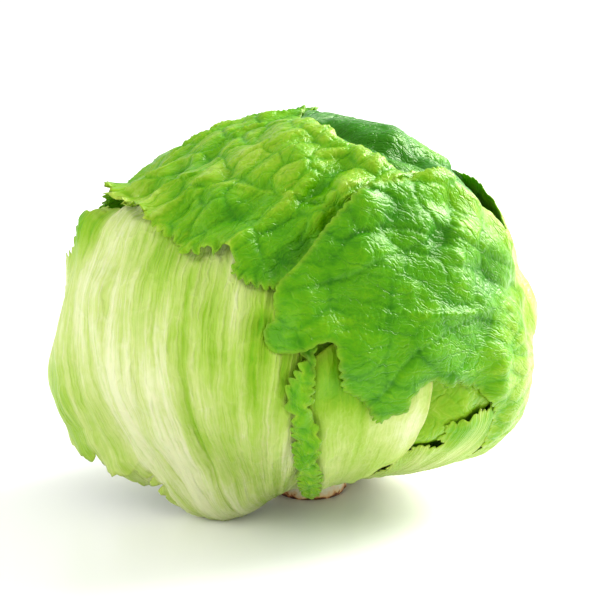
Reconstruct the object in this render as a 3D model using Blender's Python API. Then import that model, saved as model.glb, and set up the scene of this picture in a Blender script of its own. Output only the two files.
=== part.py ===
"""A head of iceberg lettuce, standing on its cut stem.

The head is a dense heart of inner leaves round a short core, and wrapper leaves that grow from
the core and lap over the heart and over each other. Every surface is worked out as a distance
from the head's centre along a direction, so each leaf can be laid over the leaves beneath it.
A direction is a longitude, 0 at the front (-Y) and 90 at the right (+X), and a latitude.
"""

import math

import bpy
import numpy as np
from mathutils.geometry import delaunay_2d_cdt

# Driving sizes, in millimetres, and angles, in degrees.
HEAD_CENTRE = (3.8, 1.6, 71.3)
BALL_WIDE = 72.5
BALL_DEEP = 72.5
BALL_TOP = 62.3
BALL_BOTTOM = 59.5
STEM_RADIUS = 13.5
STEM_TOP_RADIUS = 9.0
STEM_HEIGHT = 46.0
STEM_BEVEL = 1.2
STEM_RIDGE = 0.6
CLEAR = 0.4
GAP = 1.2
LAMINA = 0.8
RIB = 2.2
RIB_SPREAD = 8.0
DRAPE = 11.0
PUCKER = 1.0
PUCKER_LENGTH = 26.0
METRE = 0.001

# Fullness of the ball: longitude, latitude, rise in mm and spread in degrees of each swelling.
BALL_SWELLS = [
    (70, -31, 9.0, 19),
    (90, 28, -4.0, 26),
    (-85, -18, 3.0, 28),
    (-38, -44, 2.0, 22),
    (150, 20, 2.0, 30),
]
NORM_POWER = 4
CELL = 4.2
FINE = 0.7


def direction(lon, lat):
    """Unit vectors of longitudes and latitudes in degrees."""
    lon, lat = np.radians(lon), np.radians(lat)
    return np.stack([np.sin(lon) * np.cos(lat), -np.cos(lon) * np.cos(lat), np.sin(lat)], axis=-1)


def latitude(d):
    return np.degrees(np.arcsin(np.clip(d[..., 2], -1, 1)))


def degrees_between(d, other):
    return np.degrees(np.arccos(np.clip(d @ other, -1, 1)))


def smooth_step(x, low, high):
    """0 below low, 1 above high, and an S between them."""
    t = np.clip((x - low) / (high - low), 0, 1)
    return t * t * (3 - 2 * t)


def swell(d, swells):
    """The sum of rounded rises, each (longitude, latitude, rise, spread)."""
    total = np.zeros(d.shape[:-1])
    for lon, lat, rise, spread in swells:
        total += rise * np.exp(-((degrees_between(d, direction(lon, lat)) / spread) ** 2) / 2)
    return total


def heart_radius(d):
    """Radius of the heart: an ellipsoid, flatter above and below, with its swellings."""
    tall = np.where(d[..., 2] > 0, BALL_TOP, BALL_BOTTOM)
    wide, deep, up = d[..., 0] / BALL_WIDE, d[..., 1] / BALL_DEEP, d[..., 2] / tall
    return 1 / np.sqrt(wide**2 + deep**2 + up**2) + swell(d, BALL_SWELLS)


class Leaf:
    """One wrapper leaf: a patch of directions inside a margin, laid over the leaves beneath it.

    The margin is a closed run of (longitude, latitude), anticlockwise seen from outside. It is
    drawn on a flat map round the leaf's middle, in degrees, where east is x and north is y.
    """

    def __init__(self, name, middle, margin, rib, colour, below=(), swells=(), soften=2.0, lobe=0.8,
                 lobes=15, tooth=1.2, ruffle=1.5, fan=9, fold=0.8, cell=CELL, keel=RIB):
        self.name, self.rib, self.colour, self.cell = name, rib, colour, cell
        self.below, self.swells, self.above = below, swells, []
        self.tooth, self.ruffle, self.lobes = tooth, ruffle, lobes
        self.fan, self.fold, self.keel = fan, fold, keel
        self.middle = direction(*middle)
        self.east = direction(middle[0] + 90, 0)
        self.north = np.cross(self.middle, self.east)
        corners = self.flat(direction(*np.array(margin, float).T))
        loop = softened(evenly(corners, FINE), soften)
        share = np.linspace(0, 2 * math.pi, len(loop), endpoint=False)
        wave = np.sin(lobes * share + 1.5 * np.sin(3 * share)) + 0.6 * np.sin(1.7 * lobes * share)
        free = smooth_step(latitude(self.round(loop)), -66, -45)
        self.loop = loop + outwards(loop) * (lobe * wave * free)[:, None]
        self.foot = self.flat(direction(*rib[0]))

    def flat(self, d):
        """Directions on the leaf's map: distance and bearing from its middle, in degrees."""
        east, north = d @ self.east, d @ self.north
        far = degrees_between(d, self.middle)
        size = np.maximum(np.hypot(east, north), 1e-9)
        return np.stack([east, north], axis=-1) * (far / size)[..., None]

    def round(self, p):
        """The directions of points on the leaf's map."""
        far = np.linalg.norm(p, axis=-1, keepdims=True)
        unit = p / np.maximum(far, 1e-9)
        far = np.radians(far)
        return np.cos(far) * self.middle + np.sin(far) * (
            unit[..., :1] * self.east + unit[..., 1:] * self.north)

    def depth(self, d):
        """Degrees inside the leaf's margin; negative outside."""
        p = self.flat(d).reshape(-1, 1, 2)
        a = self.loop[::3]
        side = np.roll(a, -1, axis=0) - a
        along = ((p - a) * side).sum(-1) / np.maximum((side**2).sum(-1), 1e-9)
        near = p - a - side * np.clip(along, 0, 1)[..., None]
        far = np.sqrt((near**2).sum(-1)).min(-1)
        crosses = (a[:, 1] > p[..., 1]) != (np.roll(a[:, 1], -1) > p[..., 1])
        slope = side[:, 0] / np.where(side[:, 1] == 0, 1e-9, side[:, 1])
        left = p[..., 0] < a[:, 0] + slope * (p[..., 1] - a[:, 1])
        inside = (crosses & left).sum(-1) % 2 == 1
        return np.where(inside, far, -far).reshape(d.shape[:-1])

    def cover(self, d):
        """1 over the leaf, fading to 0 at the drape's width outside its margin."""
        return smooth_step(self.depth(d), -DRAPE, 0)

    def cells(self):
        """Map points and triangles: the margin's points first, then rows of points inside it."""
        cell = self.cell
        rim = evenly(self.loop, cell)
        free = smooth_step(latitude(self.round(rim)), -68, -50)
        rim = rim - outwards(rim) * (self.tooth * free * (np.arange(len(rim)) % 2))[:, None]
        low, high = rim.min(axis=0), rim.max(axis=0)
        rows = np.arange(low[1], high[1], cell * 0.866)
        x, y = np.meshgrid(np.arange(low[0], high[0] + cell, cell), rows)
        x = x - cell / 2 * (np.arange(len(rows)) % 2)[:, None]
        inside = np.stack([x.ravel(), y.ravel()], axis=-1)
        inside = inside[self.depth(self.round(inside)) > cell * 0.6 + self.tooth]
        points = np.concatenate([rim, inside])
        ring = list(range(len(rim)))
        result = delaunay_2d_cdt(points.tolist(), [], [ring], 1, 1e-6)
        points = np.array([tuple(v) for v in result[0]])
        faces = np.array([f for f in result[2] if len(f) == 3])
        return points, faces, len(rim)

    def rib_distance(self, d):
        """Degrees from the leaf's midrib, a run of great arcs through its points."""
        stops = direction(*np.array(self.rib, float).T)
        share = np.linspace(0, 1, 8)[:, None]
        line = np.concatenate([a + (b - a) * share for a, b in zip(stops, stops[1:])])
        line /= np.linalg.norm(line, axis=1, keepdims=True)
        return np.degrees(np.arccos(np.clip(d @ line.T, -1, 1))).min(axis=-1)

    def thickness(self, d):
        """A thin blade that thickens along its midrib, most of all near the stem."""
        low = smooth_step(-latitude(d), -20, 60)
        return LAMINA + self.keel * (0.3 + 0.7 * low) * np.exp(-((self.rib_distance(d) / RIB_SPREAD) ** 2) / 2)

    def relief(self, d):
        """Folds that fan out from the foot of the leaf, and puckers between them."""
        p = self.flat(d)
        from_foot = p - self.foot
        bearing = np.arctan2(from_foot[..., 0], from_foot[..., 1])
        far = np.linalg.norm(from_foot, axis=-1)
        folds = self.fold * np.cos(bearing * 2 * self.fan) ** 2 * smooth_step(far, 8, 40)
        wave = np.sin(p[..., 0] * 6.28 / PUCKER_LENGTH + 2 * np.sin(p[..., 1] / 19))
        wave = wave * np.sin(p[..., 1] * 6.28 / (PUCKER_LENGTH * 0.8) + 1.5 * np.sin(p[..., 0] / 15))
        puckers = PUCKER * (0.5 + 0.5 * wave) * smooth_step(latitude(d), -45, 5)
        return folds + puckers


def evenly(loop, step):
    """Points about a step apart along a closed run of points."""
    closed = np.concatenate([loop, loop[:1]])
    length = np.concatenate([[0], np.cumsum(np.linalg.norm(np.diff(closed, axis=0), axis=1))])
    count = 2 * round(length[-1] / step / 2)
    even = np.linspace(0, length[-1], count, endpoint=False)
    return np.stack([np.interp(even, length, closed[:, c]) for c in (0, 1)], axis=-1)


def outwards(loop):
    """Unit vectors pointing out of an anticlockwise closed run of points."""
    along = np.roll(loop, -1, axis=0) - np.roll(loop, 1, axis=0)
    return np.stack([along[:, 1], -along[:, 0]], axis=-1) / np.linalg.norm(along, axis=1)[:, None]


def softened(loop, spread):
    """A closed run of points with its corners rounded over about that many degrees."""
    step = np.linalg.norm(np.roll(loop, -1, axis=0) - loop, axis=1).mean()
    reach = np.arange(-16, 17)
    weights = np.exp(-((reach * step / spread) ** 2) / 2)
    weights /= weights.sum()
    return sum(w * np.roll(loop, s, axis=0) for s, w in zip(reach, weights))


def norm_sum(heights):
    """A rounded maximum, never less than any of the heights."""
    return sum(np.maximum(h, 0) ** NORM_POWER for h in heights) ** (1 / NORM_POWER)


def raised(leaf, d):
    """What a leaf beneath adds to the one over it: its outer face, faded out round its margin."""
    return leaf.cover(d) * (height(leaf, d) + leaf.thickness(d))


def height(leaf, d):
    """Height of the leaf's inner face over the heart."""
    beneath = [np.zeros(d.shape[:-1])] + [raised(other, d) for other in leaf.below]
    bulge = swell(d, leaf.swells) * smooth_step(latitude(d), -84, -56)
    return GAP + norm_sum(beneath) + bulge + leaf.relief(d)


def shown(leaf, d):
    """1 where nothing lies over the leaf, 0 where another leaf does."""
    share = np.ones(d.shape[:-1])
    for other in leaf.above:
        share = share * (1 - other.cover(d))
    return share


back_left_leaf = Leaf(
    "back_left_leaf", (-122, -8),
    [(-150, -77), (-125, -76.5), (-100, -77), (-92, -60), (-88, -40), (-84, -20), (-82, 0), (-86, 16), (-96, 28),
     (-115, 38), (-140, 42), (-152, 30), (-160, 5), (-164, -25), (-162, -55)],
    rib=[(-128, -76), (-126, -30), (-118, 25)], colour=(0.34, 0.60, 0.07))

back_leaf = Leaf(
    "back_leaf", (120, 45),
    [(118, -77), (145, -77), (175, -77), (-178, -50), (-176, -20), (-174, 10), (-172, 38),
     (-165, 62), (-110, 78), (-60, 76), (-20, 69), (0, 58), (10, 46), (24, 38), (44, 30), (62, 18),
     (78, 12), (90, 0), (98, -25), (106, -55)],
    rib=[(146, -76), (140, -20), (120, 40), (70, 60)], colour=(0.20, 0.48, 0.03), cell=5.5,
    swells=[(152, -60, 14.0, 13)])

under_left_leaf = Leaf(
    "under_left_leaf", (-72, -20),
    [(-66, -77), (-46, -77), (-38, -64), (-38, -48), (-46, -32), (-56, -14), (-66, 4), (-76, 20),
     (-84, 27), (-89, 26.5), (-92.5, 23), (-95, 18), (-97, 12), (-98, 0), (-96, -14), (-91, -24),
     (-84, -32), (-79, -37.5), (-77.5, -42), (-73, -47), (-69, -50.5), (-62, -54), (-60, -65)],
    rib=[(-56, -76), (-56, -40), (-76, -10), (-84, 20)], colour=(0.40, 0.66, 0.10),
    below=(back_left_leaf,), swells=[(-78, -42, 20.0, 9), (-96, 19, 7.0, 7)], soften=1.0, tooth=1.5)

left_leaf = Leaf(
    "left_leaf", (-52, -14),
    [(-56, -77), (-28, -77), (0, -77), (3, -58), (2, -42), (1, -25), (0, -10), (0, 2), (-3, 14),
     (-10, 25), (-22, 34), (-40, 40), (-60, 41), (-74, 36), (-82, 28), (-88, 18), (-94, 7),
     (-99, -6), (-100, -18), (-93, -28), (-83, -34), (-72, -36), (-62, -38), (-58, -44),
     (-60, -54), (-62, -65)],
    rib=[(-28, -76), (-38, -56), (-46, -38), (-52, -20), (-58, -5), (-64, 14), (-70, 32)],
    below=(back_left_leaf, under_left_leaf), colour=(0.62, 0.78, 0.28),
    swells=[(-85, -21, 12.0, 11), (-47, -57, 10.8, 10)], tooth=0.6, fan=13)

lower_right_leaf = Leaf(
    "lower_right_leaf", (66, -30),
    [(30, -77), (62, -77), (94, -77), (100, -60), (110, -40), (112, -20), (110, -4), (95, 2),
     (78, 3), (64, -2), (57, -10), (55, -17), (54, -20), (50, -19), (43, -19.5), (40, -21),
     (39, -23), (41, -25), (38, -26.5), (42, -29.5), (38, -29), (34, -30), (32, -34), (29, -40),
     (28, -52), (28, -64)],
    rib=[(66, -76), (74, -45), (80, -10)], below=(back_leaf,), cell=3.6,
    colour=(0.56, 0.74, 0.22), soften=0.8, tooth=1.0, lobe=0.4)

front_leaf = Leaf(
    "front_leaf", (13, -26),
    [(4, -77), (14, -77), (22, -77), (21, -60), (22, -50), (26, -40), (29, -34), (31, -29),
     (32.5, -22), (33, -15), (33, -8), (30, -1), (20, 3), (6, 5), (-1, 0), (-1, -20), (-2, -42),
     (0, -62)],
    rib=[(14, -76), (15, -50), (16, -20)], below=(left_leaf, lower_right_leaf), cell=3.6,
    colour=(0.74, 0.84, 0.42), tooth=0.0, ruffle=0.0, lobe=0.0, fan=8, fold=0.5, keel=0.8)

strip_leaf = Leaf(
    "strip_leaf", (-1, -28),
    [(-3, -77), (1, -77), (5, -77), (5, -62), (4, -50), (4.4, -37.4), (3, -33), (1.4, -28),
     (3.4, -25.6), (1.8, -23), (3.5, -20.5), (1.5, -18.8), (2.2, -16), (0.2, -13), (0.9, -9.5),
     (1.2, -5), (1.2, 1.3), (2, 8), (-2, 9), (-3, 5), (-2.5, 1.4), (-4, -1.5), (-6.3, -5.5),
     (-6, -9), (-7, -12), (-4.8, -13.4), (-4.8, -15.5), (-5.6, -19.5), (-4.7, -21), (-5.6, -24.5),
     (-5, -28), (-5.5, -31), (-3.8, -34), (-5, -40), (-4.5, -50), (-4, -62)],
    rib=[(1, -76), (0, -40), (-1, -5)], below=(left_leaf, front_leaf), cell=2.4,
    colour=(0.36, 0.64, 0.08), soften=0.5, tooth=0.5, lobe=0.0, ruffle=0.6, fan=4, fold=0.3, keel=0.3)

top_leaf = Leaf(
    "top_leaf", (-130, 60),
    [(-180, -77), (-163, -77), (-146, -77), (-146, -66), (-138, -45), (-130, -22), (-121, 0),
     (-111, 13), (-102, 21), (-98, 26), (-93, 29), (-80, 30), (-64, 29.5), (-54, 29.5), (-47, 27.3),
     (-40, 26), (-35, 23), (-31, 23), (-28, 26.8), (-25.5, 23), (-23, 26.9), (-20.5, 24.4),
     (-21, 20.5), (-16.5, 18.5), (-10, 17), (-2, 17), (6, 20), (14, 28), (24, 38), (34, 42),
     (48, 42), (57, 43), (53, 47), (44, 48.7), (38, 51), (35, 56), (30, 61.5), (22, 67), (12, 76),
     (-15, 84), (-130, 86), (-172, 76), (176, 60), (172, 34), (172, 5), (174, -30), (176, -60)],
    rib=[(-168, -76), (-166, -30), (-160, 20), (-130, 62), (-60, 58)], colour=(0.30, 0.58, 0.06),
    below=(back_left_leaf, back_leaf, under_left_leaf, left_leaf), soften=0.8, ruffle=2.0, lobe=0.5,
    cell=4.6)

right_leaf = Leaf(
    "right_leaf", (66, 10),
    [(84, -77), (112, -77), (138, -77), (146, -56), (150, -32), (150, -5), (146, 15), (138, 30),
     (122, 32), (104, 30), (88, 24), (78, 22.5), (75, 27), (72, 33), (66, 39), (59, 45), (52, 46),
     (44, 46.5), (35, 46), (27, 45), (20, 44), (14, 41.5), (7.5, 37), (3, 32.5), (0, 28.5),
     (-4, 22.5), (-8.5, 18.5), (-9.8, 15), (-9, 10), (-11.2, 8.5), (-11.3, 6.5), (-10.7, 3.5),
     (-9, 1.8), (-5, 2.3), (-1, 3), (2, 5), (5.5, 5.3), (6, 3), (6.5, -3), (7.5, -7.5), (11, -10),
     (13.5, -13), (15.5, -17), (18, -18.3), (22, -15.5), (25, -15), (25.5, -11), (28.3, -9.5),
     (31, -7.5), (35, -8.7), (37, -10.8), (40, -9.8), (44, -12.5), (48.5, -14), (53, -17),
     (57, -21), (61, -27), (66, -36), (72, -50), (78, -65)],
    rib=[(112, -76), (106, -40), (98, 0), (94, 20)],
    below=(back_leaf, lower_right_leaf, front_leaf, strip_leaf, top_leaf, left_leaf),
    colour=(0.22, 0.52, 0.03), soften=0.8, lobe=0.3)

LEAVES = [back_left_leaf, back_leaf, under_left_leaf, left_leaf, lower_right_leaf, front_leaf,
          strip_leaf, top_leaf, right_leaf]
for upper in LEAVES:
    for lower in upper.below:
        lower.above.append(upper)


def add_object(name, points, faces, colour, roughness=0.45):
    """A mesh object from points in mm round the head's centre, smooth shaded, with a material."""
    mesh = bpy.data.meshes.new(name)
    placed = (np.asarray(points) + np.array(HEAD_CENTRE)) * METRE
    mesh.from_pydata(placed.tolist(), [], [tuple(int(i) for i in f) for f in faces])
    mesh.shade_smooth()
    mesh.set_sharp_from_angle(angle=math.radians(50))
    obj = bpy.data.objects.new(name, mesh)
    bpy.context.scene.collection.objects.link(obj)
    material = bpy.data.materials.new(name)
    material.use_nodes = True
    shader = material.node_tree.nodes["Principled BSDF"]
    shader.inputs["Base Color"].default_value = (*colour, 1.0)
    shader.inputs["Roughness"].default_value = roughness
    mesh.materials.append(material)
    return obj


def add_leaf(leaf):
    """A closed blade: an outer and an inner face on the same cells, joined round the margin."""
    flat, cells, border = leaf.cells()
    d = leaf.round(flat)
    depth = np.maximum(leaf.depth(d), 0)
    turn = np.arctan2(flat[:, 1], flat[:, 0])
    wave = 0.5 + 0.5 * np.sin(turn * leaf.lobes * 0.8 + 2 * np.sin(turn * 3))
    free = smooth_step(latitude(d), -68, -50)
    lift = leaf.ruffle * wave * smooth_step(-depth, -9, 0) * free * shown(leaf, d)
    inner = heart_radius(d) + height(leaf, d) + lift
    outer = inner + leaf.thickness(d)
    points = np.concatenate([d * outer[:, None], d * inner[:, None]])
    count = len(flat)
    near = np.arange(border)
    next_one = np.roll(near, -1)
    faces = np.concatenate([
        cells,
        cells[:, ::-1] + count,
        np.stack([next_one, near, near + count], axis=-1),
        np.stack([next_one, near + count, next_one + count], axis=-1)])
    return add_object(leaf.name, points, faces, leaf.colour)


def add_heart():
    """The dense ball of inner leaves, with the core's socket up its underside."""
    around, up = 40, 22
    lon = np.arange(around) * 360 / around
    rise = STEM_HEIGHT - HEAD_CENTRE[2] + CLEAR
    start = -math.degrees(math.acos((STEM_RADIUS + CLEAR) / BALL_BOTTOM))
    lat = np.linspace(start, 84, up)
    d = direction(lon[None, :], lat[:, None] + np.zeros((1, around)))
    folds = 0.8 * np.sin(np.radians(lon[None, :] * 5 + lat[:, None] * 3)) * smooth_step(lat[:, None], start, -50)
    shell = d * (heart_radius(d) + np.minimum(folds, 0))[..., None]
    ring = np.stack([np.sin(np.radians(lon)), -np.cos(np.radians(lon)), np.zeros(around)], axis=-1)
    top = ring * (STEM_TOP_RADIUS + CLEAR) + [0, 0, rise]
    mouth = ring * (STEM_RADIUS + CLEAR) + [0, 0, shell[0, 0, 2]]
    shell[0] = mouth
    poles = np.array([[0, 0, rise], [0, 0, heart_radius(direction(0, 90)).item()]])
    rows = np.concatenate([top[None], shell])
    count = len(rows) * around
    points = np.concatenate([rows.reshape(-1, 3), poles])
    faces = []
    for r in range(len(rows) - 1):
        for k in range(around):
            a, b = r * around + k, r * around + (k + 1) % around
            faces += [(a, b, b + around), (a, b + around, a + around)]
    last = (len(rows) - 1) * around
    for k in range(around):
        following = (k + 1) % around
        faces += [(count, following, k), (count + 1, last + k, last + following)]
    return add_object("heart", points, faces, (0.45, 0.68, 0.12))


def add_stem():
    """The cut core: a flat oxidised face, a knobbly side and a taper up into the heart."""
    around = 28
    turn = np.arange(around) * 2 * math.pi / around
    bottom = -HEAD_CENTRE[2]
    profile = [
        (STEM_RADIUS - STEM_BEVEL, bottom, 0.0),
        (STEM_RADIUS, bottom + STEM_BEVEL, 1.0),
        (STEM_RADIUS, bottom + 5.0, 0.5),
        (STEM_RADIUS - 0.3, bottom + 12.0, 0.0),
        (STEM_TOP_RADIUS, bottom + STEM_HEIGHT, 0.0),
    ]
    knobs = -STEM_RIDGE * (0.5 + 0.5 * np.sin(turn * 7))
    rows = [np.stack([np.sin(turn) * (r + k * knobs), -np.cos(turn) * (r + k * knobs), np.full(around, z)], axis=-1)
            for r, z, k in profile]
    poles = np.array([[0, 0, bottom], [0, 0, bottom + STEM_HEIGHT]])
    count = len(rows) * around
    faces = []
    for r in range(len(rows) - 1):
        for k in range(around):
            a, b = r * around + k, r * around + (k + 1) % around
            faces += [(a, b, b + around), (a, b + around, a + around)]
    last = (len(rows) - 1) * around
    for k in range(around):
        following = (k + 1) % around
        faces += [(count, following, k), (count + 1, last + k, last + following)]
    return add_object("stem", np.concatenate([*rows, poles]), faces, (0.62, 0.42, 0.20), 0.7)


def main():
    for old in list(bpy.data.objects):
        bpy.data.objects.remove(old)
    add_stem()
    add_heart()
    for leaf in LEAVES:
        add_leaf(leaf)


main()
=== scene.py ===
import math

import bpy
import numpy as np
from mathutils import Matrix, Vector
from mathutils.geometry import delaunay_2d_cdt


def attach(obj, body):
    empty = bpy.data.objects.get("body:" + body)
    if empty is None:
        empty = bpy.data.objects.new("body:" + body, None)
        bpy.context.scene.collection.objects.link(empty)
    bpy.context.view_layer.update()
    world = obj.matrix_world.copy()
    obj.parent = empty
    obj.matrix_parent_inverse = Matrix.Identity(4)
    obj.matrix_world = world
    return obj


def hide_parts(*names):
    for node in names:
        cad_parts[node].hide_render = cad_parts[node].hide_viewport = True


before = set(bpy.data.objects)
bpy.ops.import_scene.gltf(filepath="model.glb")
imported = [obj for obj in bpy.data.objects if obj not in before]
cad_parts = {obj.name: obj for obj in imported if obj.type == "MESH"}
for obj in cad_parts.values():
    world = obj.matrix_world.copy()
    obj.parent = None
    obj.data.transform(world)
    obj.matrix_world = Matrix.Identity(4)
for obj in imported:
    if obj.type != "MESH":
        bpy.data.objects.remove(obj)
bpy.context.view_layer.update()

# %% [markdown]
# # A head of iceberg lettuce
# A lettuce head is a ball of packed leaves inside a few looser wrapper leaves, all joined to one cut
# stem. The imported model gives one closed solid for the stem, the heart and each wrapper leaf. Here
# every one of them is replaced by a finer surface over the same form: thin blades with toothed and
# curled margins, ribs, a net of veins and puffed blisters between the veins.
#
# The leaves could be sculpted one by one, but then each one would have to be fitted over the others
# by hand. Here every leaf is a height over the same ball, so one rule lays them over each other. All
# lengths are in millimetres round the head's centre. All directions are a longitude, 0 at the front
# and 90 at the right, and a latitude, in degrees.

METRE = 0.001
HEAD_CENTRE = np.array([3.8, 1.6, 71.3])
BALL_WIDE = BALL_DEEP = 72.5
BALL_TOP, BALL_BOTTOM = 62.3, 59.5
STEM_RADIUS, STEM_TOP_RADIUS, STEM_HEIGHT = 13.5, 9.0, 46.0
STEM_BEVEL, STEM_RIDGE, CLEAR = 1.2, 0.6, 0.4
GAP, LAMINA, RIB, RIB_SPREAD, DRAPE = 1.2, 0.8, 2.2, 8.0, 11.0
PUCKER, PUCKER_LENGTH = 1.0, 26.0
MM_PER_DEGREE = 1.31

# %% [markdown]
# ## Directions and soft fields
# A leaf is a patch of directions seen from the middle of the head. Its margin, its bulges and its
# colour zones are all functions of the direction, so they are worked out for a whole array of points
# at once. A bulge could be pulled out with a brush. A bell over the angle does the same, and it can be
# written down as a place, a rise and a spread.


# %% Directions and angles
def direction(lon, lat):
    """Unit vector (sin lon cos lat, -cos lon cos lat, sin lat)."""
    lon, lat = np.radians(lon), np.radians(lat)
    return np.stack([np.sin(lon) * np.cos(lat), -np.cos(lon) * np.cos(lat), np.sin(lat)], axis=-1)


def latitude(d):
    """Arc sine of the upward part, in degrees."""
    return np.degrees(np.arcsin(np.clip(d[..., 2], -1, 1)))


def degrees_between(d, other):
    """Arc cosine of the dot product, in degrees."""
    return np.degrees(np.arccos(np.clip(d @ other, -1, 1)))


print("front to right", round(float(degrees_between(direction(0, 0), direction(90, 0)))), "degrees")


# %% Soft steps and swellings
def smooth_step(x, low, high):
    """3 t^2 - 2 t^3 of the share t of the way from low to high, held between 0 and 1."""
    t = np.clip((x - low) / (high - low), 0, 1)
    return t * t * (3 - 2 * t)


def bell(x, spread):
    """exp(-(x / spread)^2 / 2)."""
    return np.exp(-((x / spread) ** 2) / 2)


def swell(d, swells):
    """The sum of rise times the bell of the angle, over (longitude, latitude, rise, spread)."""
    total = np.zeros(d.shape[:-1])
    for lon, lat, rise, spread in swells:
        total += rise * bell(degrees_between(d, direction(lon, lat)), spread)
    return total


print("half way up a soft step", smooth_step(0.5, 0, 1))


# %% Lines over the head
def great_line(stops, steps=8):
    """Unit vectors along the great arcs that join a run of (longitude, latitude)."""
    ends = direction(*np.array(stops, float).T)
    share = np.linspace(0, 1, steps)[:, None]
    line = np.concatenate([a + (b - a) * share for a, b in zip(ends, ends[1:])])
    return line / np.linalg.norm(line, axis=1, keepdims=True)


def line_distance(d, stops):
    """The least angle in degrees to a run of great arcs."""
    return np.degrees(np.arccos(np.clip((d @ great_line(stops).T).max(axis=-1), -1, 1)))


def creases(d, lines):
    """The sum of minus depth times the bell of the angle to a line, over (stops, depth, width)."""
    total = np.zeros(d.shape[:-1])
    for stops, deep, width in lines:
        total -= deep * bell(line_distance(d, stops), width)
    return total


print("a line over a right angle has", len(great_line([(0, 0), (90, 0)])), "points")

# %% [markdown]
# ## The ball that carries everything
# Under its wrappers the head is a slightly flattened ball, fuller low on the right and dented where
# the right leaf is drawn in. A sphere could be scaled and pushed about. An ellipsoid's formula plus a
# few swellings is the same shape in closed form, so each leaf can ask for the radius anywhere.

# %% The ball
BALL_SWELLS = [(70, -31, 9.0, 19), (90, 28, -4.0, 26), (-85, -18, 3.0, 28), (-38, -44, 2.0, 22),
               (150, 20, 2.0, 30), (84, 3, -5.2, 9)]


def heart_radius(d):
    """1 / sqrt((x/wide)^2 + (y/deep)^2 + (z/tall)^2), flatter above and below, plus swellings."""
    tall = np.where(d[..., 2] > 0, BALL_TOP, BALL_BOTTOM)
    wide, deep, up = d[..., 0] / BALL_WIDE, d[..., 1] / BALL_DEEP, d[..., 2] / tall
    return 1 / np.sqrt(wide**2 + deep**2 + up**2) + swell(d, BALL_SWELLS)


print("radius to the front", round(float(heart_radius(direction(0, 0))), 2))

# %% [markdown]
# ## Noise and cells
# No two parts of a leaf are alike. Smooth noise gives its undulation and mottling. Cells, the regions
# nearest to scattered points, give the blisters and the veins between them, as real veins part the
# blade into small fields. Blender's textures could displace the mesh, but then the heights would only
# be known to Blender. Worked out here, the same numbers can shape the blade and colour it too.


# %% Smooth noise
def scatter(ix, iy, seed):
    """The fraction left of 43758.5453 sin(127.1 ix + 311.7 iy + 74.7 seed): a fixed random number."""
    value = np.sin(ix * 127.1 + iy * 311.7 + seed * 74.7) * 43758.5453
    return value - np.floor(value)


def noise(x, y, seed):
    """Random numbers at whole x and y, blended between them along an S curve; 0 to 1."""
    ix, iy = np.floor(x), np.floor(y)
    fx, fy = x - ix, y - iy
    fx, fy = fx * fx * (3 - 2 * fx), fy * fy * (3 - 2 * fy)
    low = scatter(ix, iy, seed) * (1 - fx) + scatter(ix + 1, iy, seed) * fx
    high = scatter(ix, iy + 1, seed) * (1 - fx) + scatter(ix + 1, iy + 1, seed) * fx
    return low * (1 - fy) + high * fy


def layered(x, y, seed, octaves=3):
    """Noise plus half as much at twice the pace, and so on, scaled to 0 to 1."""
    total = sum(noise(x * 2**k, y * 2**k, seed + 5 * k) / 2**k for k in range(octaves))
    return total / sum(1 / 2**k for k in range(octaves))


def ridged(x, y, seed):
    """(1 - |2 noise - 1|)^3: thin ridges that wander."""
    return (1 - np.abs(2 * noise(x, y, seed) - 1)) ** 3


print("noise sample", round(float(noise(np.array(2.3), np.array(4.1), 1)), 3))


# %% Cells
def cells(x, y, seed):
    """How much further the next scattered point is than the nearest, and the nearest one's number."""
    ix, iy = np.floor(x), np.floor(y)
    first = np.full(x.shape, 9.0)
    second = np.full(x.shape, 9.0)
    tag = np.zeros(x.shape)
    for ox in (-1, 0, 1):
        for oy in (-1, 0, 1):
            cx, cy = ix + ox, iy + oy
            px = cx + 0.15 + 0.7 * scatter(cx, cy, seed)
            py = cy + 0.15 + 0.7 * scatter(cx, cy, seed + 1)
            far = np.hypot(x - px, y - py)
            nearer = far < first
            second = np.where(nearer, first, np.minimum(second, far))
            tag = np.where(nearer, scatter(cx, cy, seed + 2), tag)
            first = np.where(nearer, far, first)
    return second - first, tag


print("cell edge sample", round(float(cells(np.array([2.3]), np.array([4.1]), 1)[0][0]), 3))

# %% [markdown]
# ## Leaves
# A wrapper leaf is one thin blade with a midrib that is thickest at the stem, and a free margin. Each
# one could be cut from a plane and bent round. But then its margin would never lie where it is seen
# from the front, so the margin is drawn straight on the head: anticlockwise seen from outside, as
# longitudes and latitudes, and kept on a flat map round the leaf's own middle. A grid of distances
# to the margin tells other leaves how far inside this one a direction lies.

# %% Runs of points
MARGIN_STEP = 0.7


def evenly(loop, step):
    """Points a step apart along a closed run, by linear interpolation of its length."""
    closed = np.concatenate([loop, loop[:1]])
    length = np.concatenate([[0], np.cumsum(np.linalg.norm(np.diff(closed, axis=0), axis=1))])
    count = 2 * round(length[-1] / step / 2)
    even = np.linspace(0, length[-1], count, endpoint=False)
    return np.stack([np.interp(even, length, closed[:, c]) for c in (0, 1)], axis=-1)


def outwards(loop):
    """Unit vectors at right angles to an anticlockwise closed run, pointing out of it."""
    along = np.roll(loop, -1, axis=0) - np.roll(loop, 1, axis=0)
    return np.stack([along[:, 1], -along[:, 0]], axis=-1) / np.linalg.norm(along, axis=1)[:, None]


def softened(loop, spread):
    """A weighted mean of neighbours, the weight a bell of the given spread in degrees."""
    step = np.linalg.norm(np.roll(loop, -1, axis=0) - loop, axis=1).mean()
    reach = np.arange(-16, 17)
    weights = np.exp(-((reach * step / spread) ** 2) / 2)
    weights /= weights.sum()
    return sum(w * np.roll(loop, s, axis=0) for s, w in zip(reach, weights))


print("four corners, evenly:", len(evenly(np.eye(2)[[0, 1, 1, 0]] * 8, MARGIN_STEP)), "points")


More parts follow.
